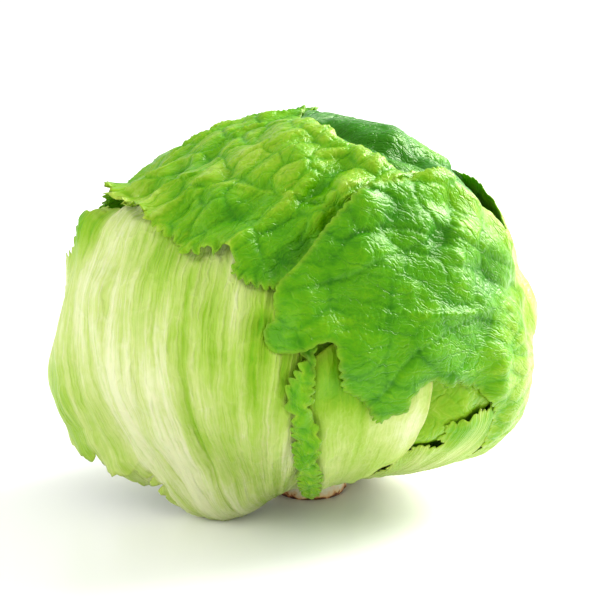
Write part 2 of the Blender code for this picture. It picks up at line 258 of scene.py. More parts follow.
# %% The leaf
TURN = 6.28
LOBE_LATITUDES = (-66, -45)


class Leaf:
    """A patch of directions inside a margin, laid over the leaves beneath it."""

    def __init__(self, name, middle, margin, rib, below=(), swells=(), soften=2.0, lobe=0.8, lobes=15,
                 ruffle=1.5, fan=9, fold=0.8, keel=RIB):
        self.name, self.rib, self.below, self.swells, self.above = name, rib, below, swells, []
        self.ruffle, self.lobes, self.fan, self.fold, self.keel = ruffle, lobes, fan, fold, keel
        self.middle = direction(*middle)
        self.east = direction(middle[0] + 90, 0)
        self.north = np.cross(self.middle, self.east)
        corners = self.flat(direction(*np.array(margin, float).T))
        loop = softened(evenly(corners, MARGIN_STEP), soften)
        share = np.linspace(0, 2 * math.pi, len(loop), endpoint=False)
        wave = np.sin(lobes * share + 1.5 * np.sin(3 * share)) + 0.6 * np.sin(1.7 * lobes * share)
        free = smooth_step(latitude(self.round(loop)), *LOBE_LATITUDES)
        self.loop = loop + outwards(loop) * (lobe * wave * free)[:, None]
        self.foot = self.flat(direction(*rib[0]))
        self.low = self.loop.min(axis=0) - DRAPE - 2
        size = np.ceil(self.loop.max(axis=0) + DRAPE + 2 - self.low).astype(int)
        x, y = np.meshgrid(np.arange(size[0]), np.arange(size[1]))
        grid = np.stack([x, y], axis=-1).reshape(-1, 2) + self.low
        self.depths = self.nearest(grid, self.loop[::2])[0].reshape(x.shape)
        print(name, "margin of", len(self.loop), "points")

    def flat(self, d):
        """Azimuthal map: the angle from the middle, laid off along its bearing, in degrees."""
        east, north = d @ self.east, d @ self.north
        far = degrees_between(d, self.middle)
        size = np.maximum(np.hypot(east, north), 1e-9)
        return np.stack([east, north], axis=-1) * (far / size)[..., None]

    def round(self, p):
        """cos(far) middle + sin(far) (bearing), the direction of a point on the map."""
        far = np.linalg.norm(p, axis=-1, keepdims=True)
        unit = p / np.maximum(far, 1e-9)
        far = np.radians(far)
        return np.cos(far) * self.middle + np.sin(far) * (
            unit[..., :1] * self.east + unit[..., 1:] * self.north)

    def nearest(self, p, loop):
        """Signed distance inside a closed run of points, the offset from it and the place on it."""
        side = np.roll(loop, -1, axis=0) - loop
        slope = side[:, 0] / np.where(side[:, 1] == 0, 1e-9, side[:, 1])
        depth, offset, place = [], [], []
        for q in np.array_split(p, len(p) // 4000 + 1):
            q = q[:, None]
            along = np.clip(((q - loop) * side).sum(-1) / np.maximum((side**2).sum(-1), 1e-9), 0, 1)
            near = q - loop - side * along[..., None]
            far = (near**2).sum(-1)
            k = far.argmin(-1)
            crosses = (loop[:, 1] > q[..., 1]) != (np.roll(loop[:, 1], -1) > q[..., 1])
            left = q[..., 0] < loop[:, 0] + slope * (q[..., 1] - loop[:, 1])
            inside = (crosses & left).sum(-1) % 2 == 1
            row = np.arange(len(k))
            depth.append(np.sqrt(far[row, k]) * np.where(inside, 1, -1))
            offset.append(near[row, k])
            place.append(k + along[row, k])
        return np.concatenate(depth), np.concatenate(offset), np.concatenate(place)

    def depth(self, d):
        """Degrees inside the margin, read off the grid of depths by bilinear interpolation."""
        q = self.flat(d) - self.low
        rows, columns = self.depths.shape
        x, y = np.clip(q[..., 0], 0, columns - 1.001), np.clip(q[..., 1], 0, rows - 1.001)
        ix, iy = x.astype(int), y.astype(int)
        fx, fy = x - ix, y - iy
        g = self.depths
        value = (g[iy, ix] * (1 - fx) + g[iy, ix + 1] * fx) * (1 - fy)
        value = value + (g[iy + 1, ix] * (1 - fx) + g[iy + 1, ix + 1] * fx) * fy
        outside = np.hypot(q[..., 0] - x, q[..., 1] - y)
        return value - outside

    def cover(self, d):
        """1 over the leaf, falling along an S curve to 0 at the drape's width outside it."""
        return smooth_step(self.depth(d), -DRAPE, 0)

    def thickness(self, d):
        """Blade plus keel times a bell of the angle from the midrib, most near the stem."""
        low = smooth_step(-latitude(d), -20, 60)
        beside = bell(line_distance(d, self.rib), RIB_SPREAD)
        return LAMINA + self.keel * (0.3 + 0.7 * low) * beside

    def relief(self, d):
        """Folds: cos^2 of the bearing from the foot. Puckers: a product of two sine waves."""
        p = self.flat(d)
        from_foot = p - self.foot
        bearing = np.arctan2(from_foot[..., 0], from_foot[..., 1])
        far = np.linalg.norm(from_foot, axis=-1)
        folds = self.fold * np.cos(bearing * 2 * self.fan) ** 2 * smooth_step(far, 8, 40)
        wave = np.sin(p[..., 0] * TURN / PUCKER_LENGTH + 2 * np.sin(p[..., 1] / 19))
        wave = wave * np.sin(p[..., 1] * TURN / (PUCKER_LENGTH * 0.8) + 1.5 * np.sin(p[..., 0] / 15))
        puckers = PUCKER * (0.5 + 0.5 * wave) * smooth_step(latitude(d), -45, 5)
        return folds + puckers


print("the leaf is ready")

# %% [markdown]
# ## How the leaves lie over each other
# Each wrapper rests on the ones beneath it and bridges the steps at their margins. A cloth simulation
# would find such a rest, but slowly and a little differently each time. A rounded maximum of the
# layers beneath gives it at once: where one layer is much higher it wins, and where two are alike the
# leaf passes over both in a soft curve. Beyond its margin each layer fades out over a few degrees.

# %% Stacking
NORM_POWER = 4
BULGE_LATITUDES = (-84, -56)


def norm_sum(heights):
    """The fourth root of the sum of fourth powers: a rounded maximum."""
    return sum(np.maximum(h, 0) ** NORM_POWER for h in heights) ** (1 / NORM_POWER)


def height(leaf, d, memo):
    """Gap + rounded maximum of what lies beneath + bulges + relief: the inner face over the heart."""
    if leaf.name not in memo:
        beneath = [np.zeros(d.shape[:-1])]
        for other in leaf.below:
            beneath.append(other.cover(d) * (height(other, d, memo) + other.thickness(d)))
        bulge = swell(d, leaf.swells) * smooth_step(latitude(d), *BULGE_LATITUDES)
        memo[leaf.name] = GAP + norm_sum(beneath) + bulge + leaf.relief(d)
    return memo[leaf.name]


def shown(leaf, d, low=-DRAPE, high=0.0):
    """The product, over the leaves above, of 1 less their cover."""
    share = np.ones(d.shape[:-1])
    for other in leaf.above:
        share = share * (1 - smooth_step(other.depth(d), low, high))
    return share


print("3 mm beside 4 mm stacks to", round(float(norm_sum([3.0, 4.0])), 2), "mm")

# %% [markdown]
# ## The nine wrapper leaves
# They are made from the inside out. Each one gives its middle, its margin, its midrib, the leaves
# that it lies over, and how lobed, ruffled and folded it is.

# %% [markdown]
# ### Back left leaf
# The wrapper at the back left isn't in the photograph, but the head must have one there, under the
# left leaf and the top leaf. It is the lowest layer, so it lies over nothing but the heart and needs
# no more than a plain margin.

# %% Back left leaf
back_left_leaf = Leaf(
    "back_left_leaf", (-122, -8),
    [(-150, -77), (-125, -76.5), (-100, -77), (-92, -60), (-88, -40), (-84, -20), (-82, 0),
     (-86, 16), (-96, 28), (-115, 38), (-140, 42), (-152, 30), (-160, 5), (-164, -25), (-162, -55)],
    rib=[(-128, -76), (-126, -30), (-118, 25)])

# %% [markdown]
# ### Back leaf
# A deep green leaf shows in the troughs at the upper right and goes on down the back; its deep green
# is partly painted shade for the troughs. It is drawn much larger than what shows, as the real one
# is, so that no gap opens in other views.

# %% Back leaf
back_leaf = Leaf(
    "back_leaf", (120, 45),
    [(118, -77), (145, -77), (175, -77), (-178, -50), (-176, -20), (-174, 10), (-172, 38),
     (-165, 62), (-110, 78), (-60, 76), (-20, 69), (0, 58), (10, 46), (24, 38), (44, 30), (62, 18),
     (78, 12), (90, 0), (98, -25), (106, -55)],
    rib=[(146, -76), (140, -20), (120, 40), (70, 60)],
    swells=[(152, -60, 14.0, 13)])

# %% [markdown]
# ### Leaf under the left leaf
# Only the toothed margin of this greener leaf shows, under the left leaf's lower edge and as frills
# at the upper left. It stands away from the head there. A swelling of its height lifts it, which
# lifts the left leaf with it, as one leaf pushes the next.

# %% Leaf under the left leaf
under_left_leaf = Leaf(
    "under_left_leaf", (-72, -20),
    [(-66, -77), (-46, -77), (-38, -64), (-38, -48), (-46, -32), (-56, -14), (-66, 4), (-76, 20),
     (-84, 27), (-89, 26.5), (-92.5, 23), (-95, 18), (-97, 12), (-98, 0), (-96, -14), (-91, -24),
     (-84, -32), (-79, -37.5), (-77.5, -42), (-73, -47), (-69, -50.5), (-62, -54), (-60, -65)],
    rib=[(-56, -76), (-56, -40), (-76, -10), (-84, 20)],
    below=(back_left_leaf,), swells=[(-78, -42, 20.0, 9), (-96, 19, 7.0, 7)], soften=1.0)

# %% [markdown]
# ### Left leaf
# The large pale leaf at the front left has a thick whitish midrib that turns down to the floor. The
# bulges over its foot and at its left side are swellings too, so the veins run over them unbroken.

# %% Left leaf
left_leaf = Leaf(
    "left_leaf", (-52, -14),
    [(-56, -77), (-28, -77), (0, -77), (3, -58), (2, -42), (1, -25), (0, -10), (0, 2), (-3, 14),
     (-10, 25), (-22, 34), (-40, 40), (-60, 41), (-74, 36), (-82, 28), (-88, 18), (-94, 7),
     (-99, -6), (-100, -18), (-93, -28), (-83, -34), (-72, -36), (-62, -38), (-58, -44),
     (-60, -54), (-62, -65)],
    rib=[(-28, -76), (-38, -56), (-46, -38), (-52, -20), (-58, -5), (-64, 14), (-70, 32)],
    below=(back_left_leaf, under_left_leaf),
    swells=[(-85, -21, 12.0, 11), (-47, -57, 10.8, 10)], fan=13)

# %% [markdown]
# ### Lower right leaf
# This pale ribbed leaf cups the head at the lower right and has a ragged upper left margin. Its
# notches are drawn corner by corner, because they are larger than the small teeth that a formula
# cuts later.

# %% Lower right leaf
lower_right_leaf = Leaf(
    "lower_right_leaf", (66, -30),
    [(30, -77), (62, -77), (94, -77), (100, -60), (110, -40), (112, -20), (110, -4), (95, 2),
     (78, 3), (64, -2), (57, -10), (55, -17), (54, -20), (50, -19), (43, -19.5), (40, -21),
     (39, -23), (41, -25), (38, -26.5), (42, -29.5), (38, -29), (34, -30), (32, -34), (29, -40),
     (28, -52), (28, -64)],
    rib=[(66, -76), (74, -45), (80, -10)], below=(back_leaf,), soften=0.8, lobe=0.4, ruffle=0.5)

# %% [markdown]
# ### Front leaf
# A whitish leaf with one clean curved edge fills the space to the right of the stem. It is smooth
# and firm, so it has no ruffle, no lobes and hardly a midrib.

# %% Front leaf
front_leaf = Leaf(
    "front_leaf", (13, -26),
    [(4, -77), (14, -77), (22, -77), (21, -60), (22, -50), (26, -40), (29, -34), (31, -29),
     (32.5, -22), (33, -15), (33, -8), (30, -1), (20, 3), (6, 5), (-1, 0), (-1, -20), (-2, -42),
     (0, -62)],
    rib=[(14, -76), (15, -50), (16, -20)], below=(left_leaf, lower_right_leaf),
    ruffle=0.0, lobe=0.0, fan=8, fold=0.5, keel=0.8)

# %% [markdown]
# ### Strip leaf
# A narrow ruffled green leaf runs up the front over its two neighbours. It could be a twisted
# ribbon, but as a thin leaf in the same stack it hugs what lies beneath it by itself.

# %% Strip leaf
strip_leaf = Leaf(
    "strip_leaf", (-1, -28),
    [(-3, -77), (1, -77), (5, -77), (5, -62), (4, -50), (4.4, -37.4), (3, -33), (1.4, -28),
     (3.4, -25.6), (1.8, -23), (3.5, -20.5), (1.5, -18.8), (2.2, -16), (0.2, -13), (0.9, -9.5),
     (1.2, -5), (1.2, 1.3), (2, 8), (-2, 9), (-3, 5), (-2.5, 1.4), (-4, -1.5), (-6.3, -5.5),
     (-6, -9), (-7, -12), (-4.8, -13.4), (-4.8, -15.5), (-5.6, -19.5), (-4.7, -21), (-5.6, -24.5),
     (-5, -28), (-5.5, -31), (-3.8, -34), (-5, -40), (-4.5, -50), (-4, -62)],
    rib=[(1, -76), (0, -40), (-1, -5)], below=(left_leaf, front_leaf),
    soften=0.5, lobe=0.0, ruffle=0.6, fan=4, fold=0.3, keel=0.3)

# %% [markdown]
# ### Top leaf
# This leaf grows up the back, comes over the top and ends in a frilled margin at the front. One leaf
# spans more than half of the head, so its map is centred at the upper back left, and its lobes at
# the front are drawn corner by corner.

# %% Top leaf
top_leaf = Leaf(
    "top_leaf", (-130, 60),
    [(-180, -77), (-163, -77), (-146, -77), (-146, -66), (-138, -45), (-130, -22), (-121, 0),
     (-111, 13), (-102, 21), (-98, 26), (-93, 29), (-80, 30), (-64, 29.5), (-54, 29.5), (-47, 27.3),
     (-40, 26), (-35, 23), (-31, 23), (-28, 26.8), (-25.5, 23), (-23, 26.9), (-20.5, 24.4),
     (-21, 20.5), (-16.5, 18.5), (-10, 17), (-2, 17), (6, 20), (14, 28), (24, 38), (34, 42),
     (48, 42), (57, 43), (53, 47), (44, 48.7), (38, 51), (35, 56), (30, 61.5), (22, 67), (12, 76),
     (-15, 84), (-130, 86), (-172, 76), (176, 60), (172, 34), (172, 5), (174, -30), (176, -60)],
    rib=[(-168, -76), (-166, -30), (-160, 20), (-130, 62), (-60, 58)],
    below=(back_left_leaf, back_leaf, under_left_leaf, left_leaf), soften=0.8, ruffle=2.0, lobe=0.5)

# %% [markdown]
# ### Right leaf
# The large bright leaf wraps the right side and laps over the front, above all the others. It comes
# last, because it lies over six leaves and its height is worked out from theirs.

# %% Right leaf
right_leaf = Leaf(
    "right_leaf", (66, 10),
    [(84, -77), (112, -77), (138, -77), (146, -56), (150, -32), (150, -5), (146, 15), (138, 30),
     (122, 32), (104, 30), (88, 24), (78, 22.5), (75, 27), (72, 33), (66, 39), (59, 45), (52, 46),
     (44, 46.5), (35, 46), (27, 45), (20, 44), (14, 41.5), (7.5, 37), (3, 32.5), (0, 28.5),
     (-4, 22.5), (-8.5, 18.5), (-9.8, 15), (-9, 10), (-11.2, 8.5), (-11.3, 6.5), (-10.7, 3.5),
     (-9, 1.8), (-5, 2.3), (-1, 3), (2, 5), (5.5, 5.3), (6, 3), (6.5, -3), (7.5, -7.5), (11, -10),
     (13.5, -13), (15.5, -17), (18, -18.3), (22, -15.5), (25, -15), (25.5, -11), (28.3, -9.5),
     (31, -7.5), (35, -8.7), (37, -10.8), (40, -9.8), (44, -12.5), (48.5, -14), (53, -17),
     (57, -21), (61, -27), (66, -36), (72, -50), (78, -65)],
    rib=[(112, -76), (106, -40), (98, 0), (94, 20)],
    below=(back_leaf, lower_right_leaf, front_leaf, strip_leaf, top_leaf, left_leaf),
    soften=0.8, lobe=0.3)

# %% Who lies over whom
LEAVES = [back_left_leaf, back_leaf, under_left_leaf, left_leaf, lower_right_leaf, front_leaf,
          strip_leaf, top_leaf, right_leaf]
for upper in LEAVES:
    for lower in upper.below:
        lower.above.append(upper)
print(len(LEAVES), "wrapper leaves")

# %% [markdown]
# ## Fine surface of a blade
# Close up, a wrapper leaf is a skin held by its veins: blistered where the skin outgrew them, ribbed
# near the foot, toothed and frilled at its free margin. Subdividing a rough mesh and displacing it
# would blur the teeth. Here points are spread over the leaf's own map, with the toothed margin as its
# rim, and are joined into triangles of one even size, so the detail is as fine at the margin as in
# the middle. A point's place on the leaf is given by two lengths: across the veins, which fan out
# from one place near the foot, and along them.

# %% Toothed margin
RIM_STEP = 0.8
FREE_FROM, FREE_ABOVE = -68, -50


def freed(d):
    """0 at the stem and 1 above the free latitude, along an S curve: how freely a margin moves."""
    return smooth_step(latitude(d), FREE_FROM, FREE_ABOVE)


def toothed(leaf, step, tooth, period, smooth):
    """The margin moved in by tooth size times (1 - |sin|^0.7) of its length over the period."""
    loop = evenly(leaf.loop, step)
    along = np.arange(len(loop)) * step
    still = np.zeros(len(loop))
    phase = along / period + 1.5 * noise(along / 9, still, 3)
    size = tooth * (0.2 + 1.6 * noise(along / (1.7 * period), still, 8))
    size = size * np.clip(1 - swell(leaf.round(loop), smooth), 0, 1)
    notch = 1 - np.abs(np.sin(math.pi * phase)) ** 0.7
    return loop - outwards(loop) * (size * notch * freed(leaf.round(loop)))[:, None]


print("front leaf's rim at 1 degree:", len(toothed(front_leaf, 1.0, 0.0, 2.0, [])), "points")


# %% Points and triangles
def spread_points(leaf, cell, tooth, period, smooth):
    """Margin points, then rows of points set alternately half a cell aside; and their triangles."""
    rim = toothed(leaf, cell * RIM_STEP, tooth, period, smooth)
    low, high = rim.min(axis=0), rim.max(axis=0)
    rows = np.arange(low[1], high[1], cell * 0.866)
    x, y = np.meshgrid(np.arange(low[0], high[0] + cell, cell), rows)
    x = x - cell / 2 * (np.arange(len(rows)) % 2)[:, None]
    p = np.stack([x.ravel(), y.ravel()], axis=-1)
    rough = leaf.depth(leaf.round(p))
    near = (rough > -2) & (rough < 4)
    exact = np.where(rough > 0, rough, -9.0)
    exact[near] = leaf.nearest(p[near], rim)[0]
    points = np.concatenate([rim, p[exact > cell * 0.55]])
    made = delaunay_2d_cdt(points.tolist(), [], [list(range(len(rim)))], 1, 1e-6)
    return np.array([v[:] for v in made[0]]), np.array(made[2]), rim


def near_margin(leaf, flat, rim):
    """Exact distances within 8 degrees of the margin; the grid's depth elsewhere."""
    depth = leaf.depth(leaf.round(flat))
    offset = np.ones(flat.shape)
    place = np.zeros(len(flat))
    near = depth < 8
    depth[near], offset[near], place[near] = leaf.nearest(flat[near], rim)
    return depth, offset, place


def closed_faces(faces, points, rim):
    """Outer triangles, the same turned over for the inner face, and two for each step of the rim."""
    near = np.arange(rim)
    after = np.roll(near, -1)
    side = [np.stack([after, near, near + points], -1),
            np.stack([after, near + points, after + points], -1)]
    return np.concatenate([faces, faces[:, ::-1] + points, *side])


print("front leaf at 2 degrees:", len(spread_points(front_leaf, 2.0, 0.0, 2.0, [])[1]), "triangles")


# %% What is known of each point
def fan_lengths(d, source, at):
    """Across: bearing at the source times its arc at angle `at`. Along: the angle from it; in mm."""
    start = direction(*source)
    east = direction(source[0] + 90, 0)
    north = np.cross(start, east)
    bearing = np.degrees(np.arctan2(d @ east, d @ north))
    far = degrees_between(d, start)
    return bearing * math.sin(math.radians(at)) * MM_PER_DEGREE, far * MM_PER_DEGREE


class Spots:
    """The points of one blade, where each lies on its leaf, and how freely it stands."""

    def __init__(self, leaf, look):
        step = look["step"] * 1.0
        self.flat, self.faces, self.rim = spread_points(
            leaf, step, look["tooth"], look["period"], look["smooth"])
        self.d = leaf.round(self.flat)
        depth, self.offset, place = near_margin(leaf, self.flat, self.rim)
        self.depth = np.maximum(depth, 0)
        self.round_rim = place * step * RIM_STEP
        self.free = freed(self.d)
        self.open_air = shown(leaf, self.d)
        self.close = shown(leaf, self.d, -1.0, 2.0)
        self.u, self.v = fan_lengths(self.d, look["source"], look["at"])
        self.beside = line_distance(self.d, leaf.rib)
        self.up_rib = latitude(self.d) * MM_PER_DEGREE
        zone = look["rib_zone"]
        self.near_rib = bell(self.beside, zone) if zone else 0 * self.u

    def lengths(self):
        """The fan's lengths, blended into the midrib's own lengths near it; in mm."""
        away = 1 - self.near_rib
        across = self.u * away + self.beside * MM_PER_DEGREE * self.near_rib
        along = self.v * away + self.up_rib * self.near_rib
        return np.stack([across, along], axis=-1)


print("10 degrees are", round(10 * MM_PER_DEGREE, 1), "mm on the head")

# %% [markdown]
# ## Ribs, blisters and folds
# Where a leaf is pale and firm its veins stand up as ribs that run along it. Where it is green and
# tender the skin puffs up between sunken veins, in large blisters with small ones on them. Both are
# sums of stretched noise and cells over the two vein lengths, so they follow the leaf's growth as a
# plain bump texture wouldn't. Single dents, creases and long veins are placed one by one where the
# photograph shows them.


# %% Ribs
BROAD_RIB, RIDGE, THREAD = (9, 70), (5.0, 60), (2.2, 38)


def ribbed(u, v, look):
    """1.1 broad swellings + 0.75 ridges + 0.3 threads, each (width, length) in mm along the veins."""
    warp = 2.0 * noise(u / 14, v / 30, 31)
    broad = layered((u + warp) / BROAD_RIB[0], v / BROAD_RIB[1], 11, 2)
    ridge = ridged((u + warp) / RIDGE[0], v / RIDGE[1], 17)
    fine = ridged((u + warp) / THREAD[0], v / THREAD[1], 23)
    rise = look["rib"] * (1.1 * broad + 0.75 * ridge + 0.3 * fine)
    return rise, 0.55 * ridge + 0.35 * fine, broad


print("ridge sample", round(float(ridged(np.array(1.2), np.array(0.4), 17)), 3))

# %% Blisters
DOME_EDGE, SMALL_DOME_EDGE = 0.20, 0.22
VEIN_WIDTH, SMALL_VEIN_WIDTH = 0.07, 0.09
SMALL_ACROSS, SMALL_ALONG, SMALL_RISE = 2.9, 2.3, 0.27


def blistered(u, v, look):
    """Domes 1 - exp(-edge / share of a cell) of two sizes, veins between them, and long gathers."""
    size = look["cell"]
    wu = u + size * 0.9 * (layered(u / size / 1.6, v / size / 1.6, 41) - 0.5)
    wv = v + size * 0.9 * (layered(u / size / 1.6, v / size / 1.6, 47) - 0.5)
    edge, tag = cells(wu / size, wv / (size * look["stretch"]), 5)
    dome = (1 - np.exp(-edge / DOME_EDGE)) * (0.45 + 0.55 * tag)
    small_edge, small_tag = cells(wu / size * SMALL_ACROSS, wv / size * SMALL_ALONG, 7)
    small = (1 - np.exp(-small_edge / SMALL_DOME_EDGE)) * (0.4 + 0.6 * small_tag)
    gather = ridged(wu / look["gather_width"], wv / (look["gather_width"] * 4.5), 53)
    rise = look["blister"] * (dome + SMALL_RISE * small) + look["gather"] * gather
    vein = np.exp(-((edge / VEIN_WIDTH) ** 2))
    vein = vein + 0.45 * np.exp(-((small_edge / SMALL_VEIN_WIDTH) ** 2))
    return rise, np.minimum(vein, 1), dome * 0.6 + gather * 0.4


print("small blisters to a large one", round(SMALL_ACROSS * SMALL_ALONG, 1))

# %% Surface of a blade
MIDRIB_RIB = 0.55


def blade_surface(look, spots):
    """The leaf's own style, and ribs near its midrib, as rise in mm, vein and tone."""
    style = ribbed if look["style"] == "ribbed" else blistered
    rise, vein, tone = style(spots.u, spots.v, look)
    rib_look = dict(look, rib=MIDRIB_RIB)
    rib_rise, _, rib_tone = ribbed(spots.beside * MM_PER_DEGREE, spots.up_rib, rib_look)
    away = 1 - spots.near_rib
    rise = rise * away + rib_rise * spots.near_rib
    return rise, vein * away, tone * away + rib_tone * spots.near_rib * 2


print("ribs beside a midrib rise by", MIDRIB_RIB)

# %% Lift and folds
FRILL_REACH, PRESS_REACH, RUFFLE_REACH = 3.2, 4.0, 9.0
SWAY_RISE, SWAY_WIDE, SWAY_LONG = 1.4, 26, 34


def margin_lift(leaf, look, spots):
    """A ruffle of sine waves and a frill of noise, fading inwards, less what presses it down."""
    depth, along = spots.depth, spots.round_rim
    standing = spots.free * spots.open_air
    bearing = np.arctan2(spots.flat[:, 1], spots.flat[:, 0])
    wave = 0.5 + 0.5 * np.sin(bearing * leaf.lobes * 0.8)
    lift = leaf.ruffle * wave * smooth_step(-depth, -RUFFLE_REACH, 0) * standing
    frill = (layered(along / look["frill_length"], 0 * along, 61) - 0.25) * look["frill"]
    lift = lift + np.maximum(frill, 0) * np.exp(-((depth / FRILL_REACH) ** 2)) * standing
    return lift - swell(spots.d, look["press"]) * np.exp(-((depth / PRESS_REACH) ** 2)) * spots.free


def blade_shift(leaf, look, spots, rise):
    """Lift + rise + broad sway + dents + creases, held off the layer beneath, in mm."""
    d = spots.d
    wide = SWAY_RISE * (layered(spots.u / SWAY_WIDE, spots.v / SWAY_LONG, 71, 2) - 0.5) * look["sway"]
    calm = np.clip(1 + swell(d, look["calm"]), 0, 2)
    shift = (rise * calm + wide) * spots.close * smooth_step(latitude(d), -74, -50)
    shift += (swell(d, look["dents"]) + creases(d, look["creases"] + look["veins"])) * spots.close
    return np.maximum(margin_lift(leaf, look, spots) + shift, -look["deepest"] - leaf.relief(d))


print("frill fades over", FRILL_REACH, "degrees")

# %% [markdown]
# ## Curled margins
# A free margin dries and rolls outwards. Bending the finished mesh would need a bone or a curve along
# every margin. A point's distance to the margin is already known, so the last few millimetres are
# simply laid round a circle, tighter where the leaf curls more.

# %% Curl and whole blade
CURL_BAND, CURL_RADIUS, THIN_EDGE = 7.0, 4.2, 0.35


def curled(leaf, look, spots):
    """Travel t laid on a circle of radius r: up by r (1 - cos t/r), outwards by r sin t/r - t."""
    along = spots.round_rim
    turn = swell(spots.d, look["curls"]) + look["curl"] * (noise(along / 11, 0 * along, 67) - 0.35)
    turn = np.clip(turn, 0, 1) * spots.free * spots.open_air
    travel = np.maximum(CURL_BAND - spots.depth * MM_PER_DEGREE, 0)
    radius = CURL_RADIUS / np.maximum(turn, 1e-3)
    angle = travel / radius
    out = -spots.offset / np.maximum(np.linalg.norm(spots.offset, axis=-1, keepdims=True), 1e-6)
    out[:len(spots.rim)] = outwards(spots.rim)
    ahead = leaf.round(spots.flat + out * 0.5) - spots.d
    ahead = ahead / np.maximum(np.linalg.norm(ahead, axis=-1, keepdims=True), 1e-9)
    return radius * (1 - np.cos(angle)), (radius * np.sin(angle) - travel)[:, None] * ahead


def blade(leaf, look):
    """Outer and inner faces on the same triangles, joined round the margin; colours; lengths."""
    spots = Spots(leaf, look)
    rise, vein, tone = blade_surface(look, spots)
    inner = heart_radius(spots.d) + height(leaf, spots.d, {}) + blade_shift(leaf, look, spots, rise)
    thin = THIN_EDGE + (1 - THIN_EDGE) * smooth_step(spots.depth, 0, 3)
    outer = inner + leaf.thickness(spots.d) * thin
    up, push = curled(leaf, look, spots)
    top = spots.d * (outer + up)[:, None] + push
    under = spots.d * (inner + up)[:, None] + push
    fields = colour_fields(look, spots, vein, tone)
    twice = {name: np.concatenate([value, value]) for name, value in fields.items()}
    lengths = spots.lengths()
    faces = closed_faces(spots.faces, len(spots.flat), len(spots.rim))
    return np.concatenate([top, under]), faces, twice, np.concatenate([lengths, lengths])


print("a margin curls over", CURL_BAND, "mm")

# %% [markdown]
# ## Colour fields
# A wrapper leaf is whitish at its foot and midrib, where it got no light, and green at its margin.
# The change is gradual and uneven. It could be painted on an image. Here each point gets a number for
# how pale it is, another for how near a vein it is and one for the rim, and the material turns the
# numbers into colour. They are saved as attributes, so they stay with the mesh.

# %% Colour fields
# Painted shade per mm of depth in hollows and along long veins; how far in the rim's colour reaches.
HOLLOW_PAINTED_SHADE, VEIN_PAINTED_SHADE, EDGE_REACH = 0.06, 0.16, 0.9


def colour_fields(look, spots, vein, tone):
    """Pale = base + keel + foot + tints - painted shade in hollows and veins + streaks + mottle; vein;
    rim.
    """
    d = spots.d
    keel = bell(spots.beside, look["keel_width"])
    low = smooth_step(-latitude(d), 20, 66)
    # Painted shade: paleness drops by the depth of creases, inward dents and sunken long veins, and
    # raised ridges and veins get painted light.
    hollow = -creases(d, look["creases"]) - np.minimum(swell(d, look["dents"]), 0)
    pale = look["pale"] + look["keel_pale"] * keel + look["foot_pale"] * low + swell(d, look["tints"])
    pale = pale - HOLLOW_PAINTED_SHADE * np.maximum(hollow, -1) + VEIN_PAINTED_SHADE * creases(d, look["veins"])
    pale = pale + look["streak"] * (tone - 0.5)
    pale = pale + look["mottle"] * (layered(spots.u / 8, spots.v / 14, 83) - 0.5)
    return {"pale": pale, "vein": vein * spots.close,
            "rim": np.exp(-((spots.depth / EDGE_REACH) ** 2)) * spots.free}


print("the rim's colour reaches", EDGE_REACH, "degrees in")

# %% [markdown]
# ## Pieces
# Each piece becomes one mesh object at the origin, with its place in its points, because the export
# puts every object there. A curl may dip under the floor, so what would lie below it rests on it.


# %% Mesh objects
def add_piece(name, points, faces, material, fields=None, lengths=None):
    """A smooth mesh object from whole arrays, none of it below the ground, with attributes and UVs."""
    points = np.concatenate([points[:, :2], np.maximum(points[:, 2:], -HEAD_CENTRE[2])], axis=1)
    mesh = bpy.data.meshes.new(name)
    mesh.vertices.add(len(points))
    mesh.vertices.foreach_set("co", ((points + HEAD_CENTRE) * METRE).astype(np.float32).ravel())
    mesh.loops.add(faces.size)
    mesh.loops.foreach_set("vertex_index", faces.ravel().astype(np.int32))
    mesh.polygons.add(len(faces))
    mesh.polygons.foreach_set("loop_start", np.arange(0, faces.size, 3, dtype=np.int32))
    mesh.update(calc_edges=True)
    mesh.shade_smooth()
    for key, value in (fields or {}).items():
        mesh.attributes.new(key, "FLOAT", "POINT").data.foreach_set("value", value.astype(np.float32))
    if lengths is not None:
        layer = mesh.uv_layers.new(name="lengths")
        layer.data.foreach_set("uv", lengths[faces.ravel()].astype(np.float32).ravel())
    mesh.materials.append(material)
    obj = bpy.data.objects.new(name, mesh)
    bpy.context.scene.collection.objects.link(obj)
    print(name, len(faces), "triangles")
    return obj


print("pieces rest at or above", -HEAD_CENTRE[2], "mm")

# %% [markdown]
# ## Leaf material
# A lettuce leaf is thin, wet and a little waxy: light passes through it, its veins are paler or darker
# lines, and its colour runs from deep green to cream. One family of materials serves all the leaves. A
# ramp of greens is read at the paleness that the mesh carries, moved a little by textures stretched
# along the veins, and the same textures raise the bump. A photograph laid over the head would smear
# on its back, so nothing is painted.


# %% Joining nodes
def link(tree, start, end):
    """Joins an output socket to an input socket."""
    tree.links.new(start, end)


def new_material(name):
    """A material with its node tree and its shader node."""
    material = bpy.data.materials.new(name)
    material.use_nodes = True
    return material, material.node_tree, material.node_tree.nodes["Principled BSDF"]


def math_node(tree, operation, a, b):
    """A maths node; each of a and b is a socket or a number."""
    node = tree.nodes.new("ShaderNodeMath")
    node.operation = operation
    for socket, value in zip(node.inputs, (a, b)):
        if isinstance(value, (int, float)):
            socket.default_value = value
        else:
            link(tree, value, socket)
    return node.outputs[0]


def added(tree, *terms):
    """The sum of sockets times their weights, given as (socket, weight) pairs."""
    total = 0.0
    for socket, weight in terms:
        total = math_node(tree, "ADD", total, math_node(tree, "MULTIPLY", socket, weight))
    return total


print("node helpers ready")


# %% Textures, ramp and bump
def noise_texture(tree, vector, scale, detail, dimensions="3D"):
    """A noise texture node over a vector socket."""
    texture = tree.nodes.new("ShaderNodeTexNoise")
    texture.noise_dimensions = dimensions
    texture.inputs["Scale"].default_value = scale
    texture.inputs["Detail"].default_value = detail
    link(tree, vector, texture.inputs["Vector"])
    return texture


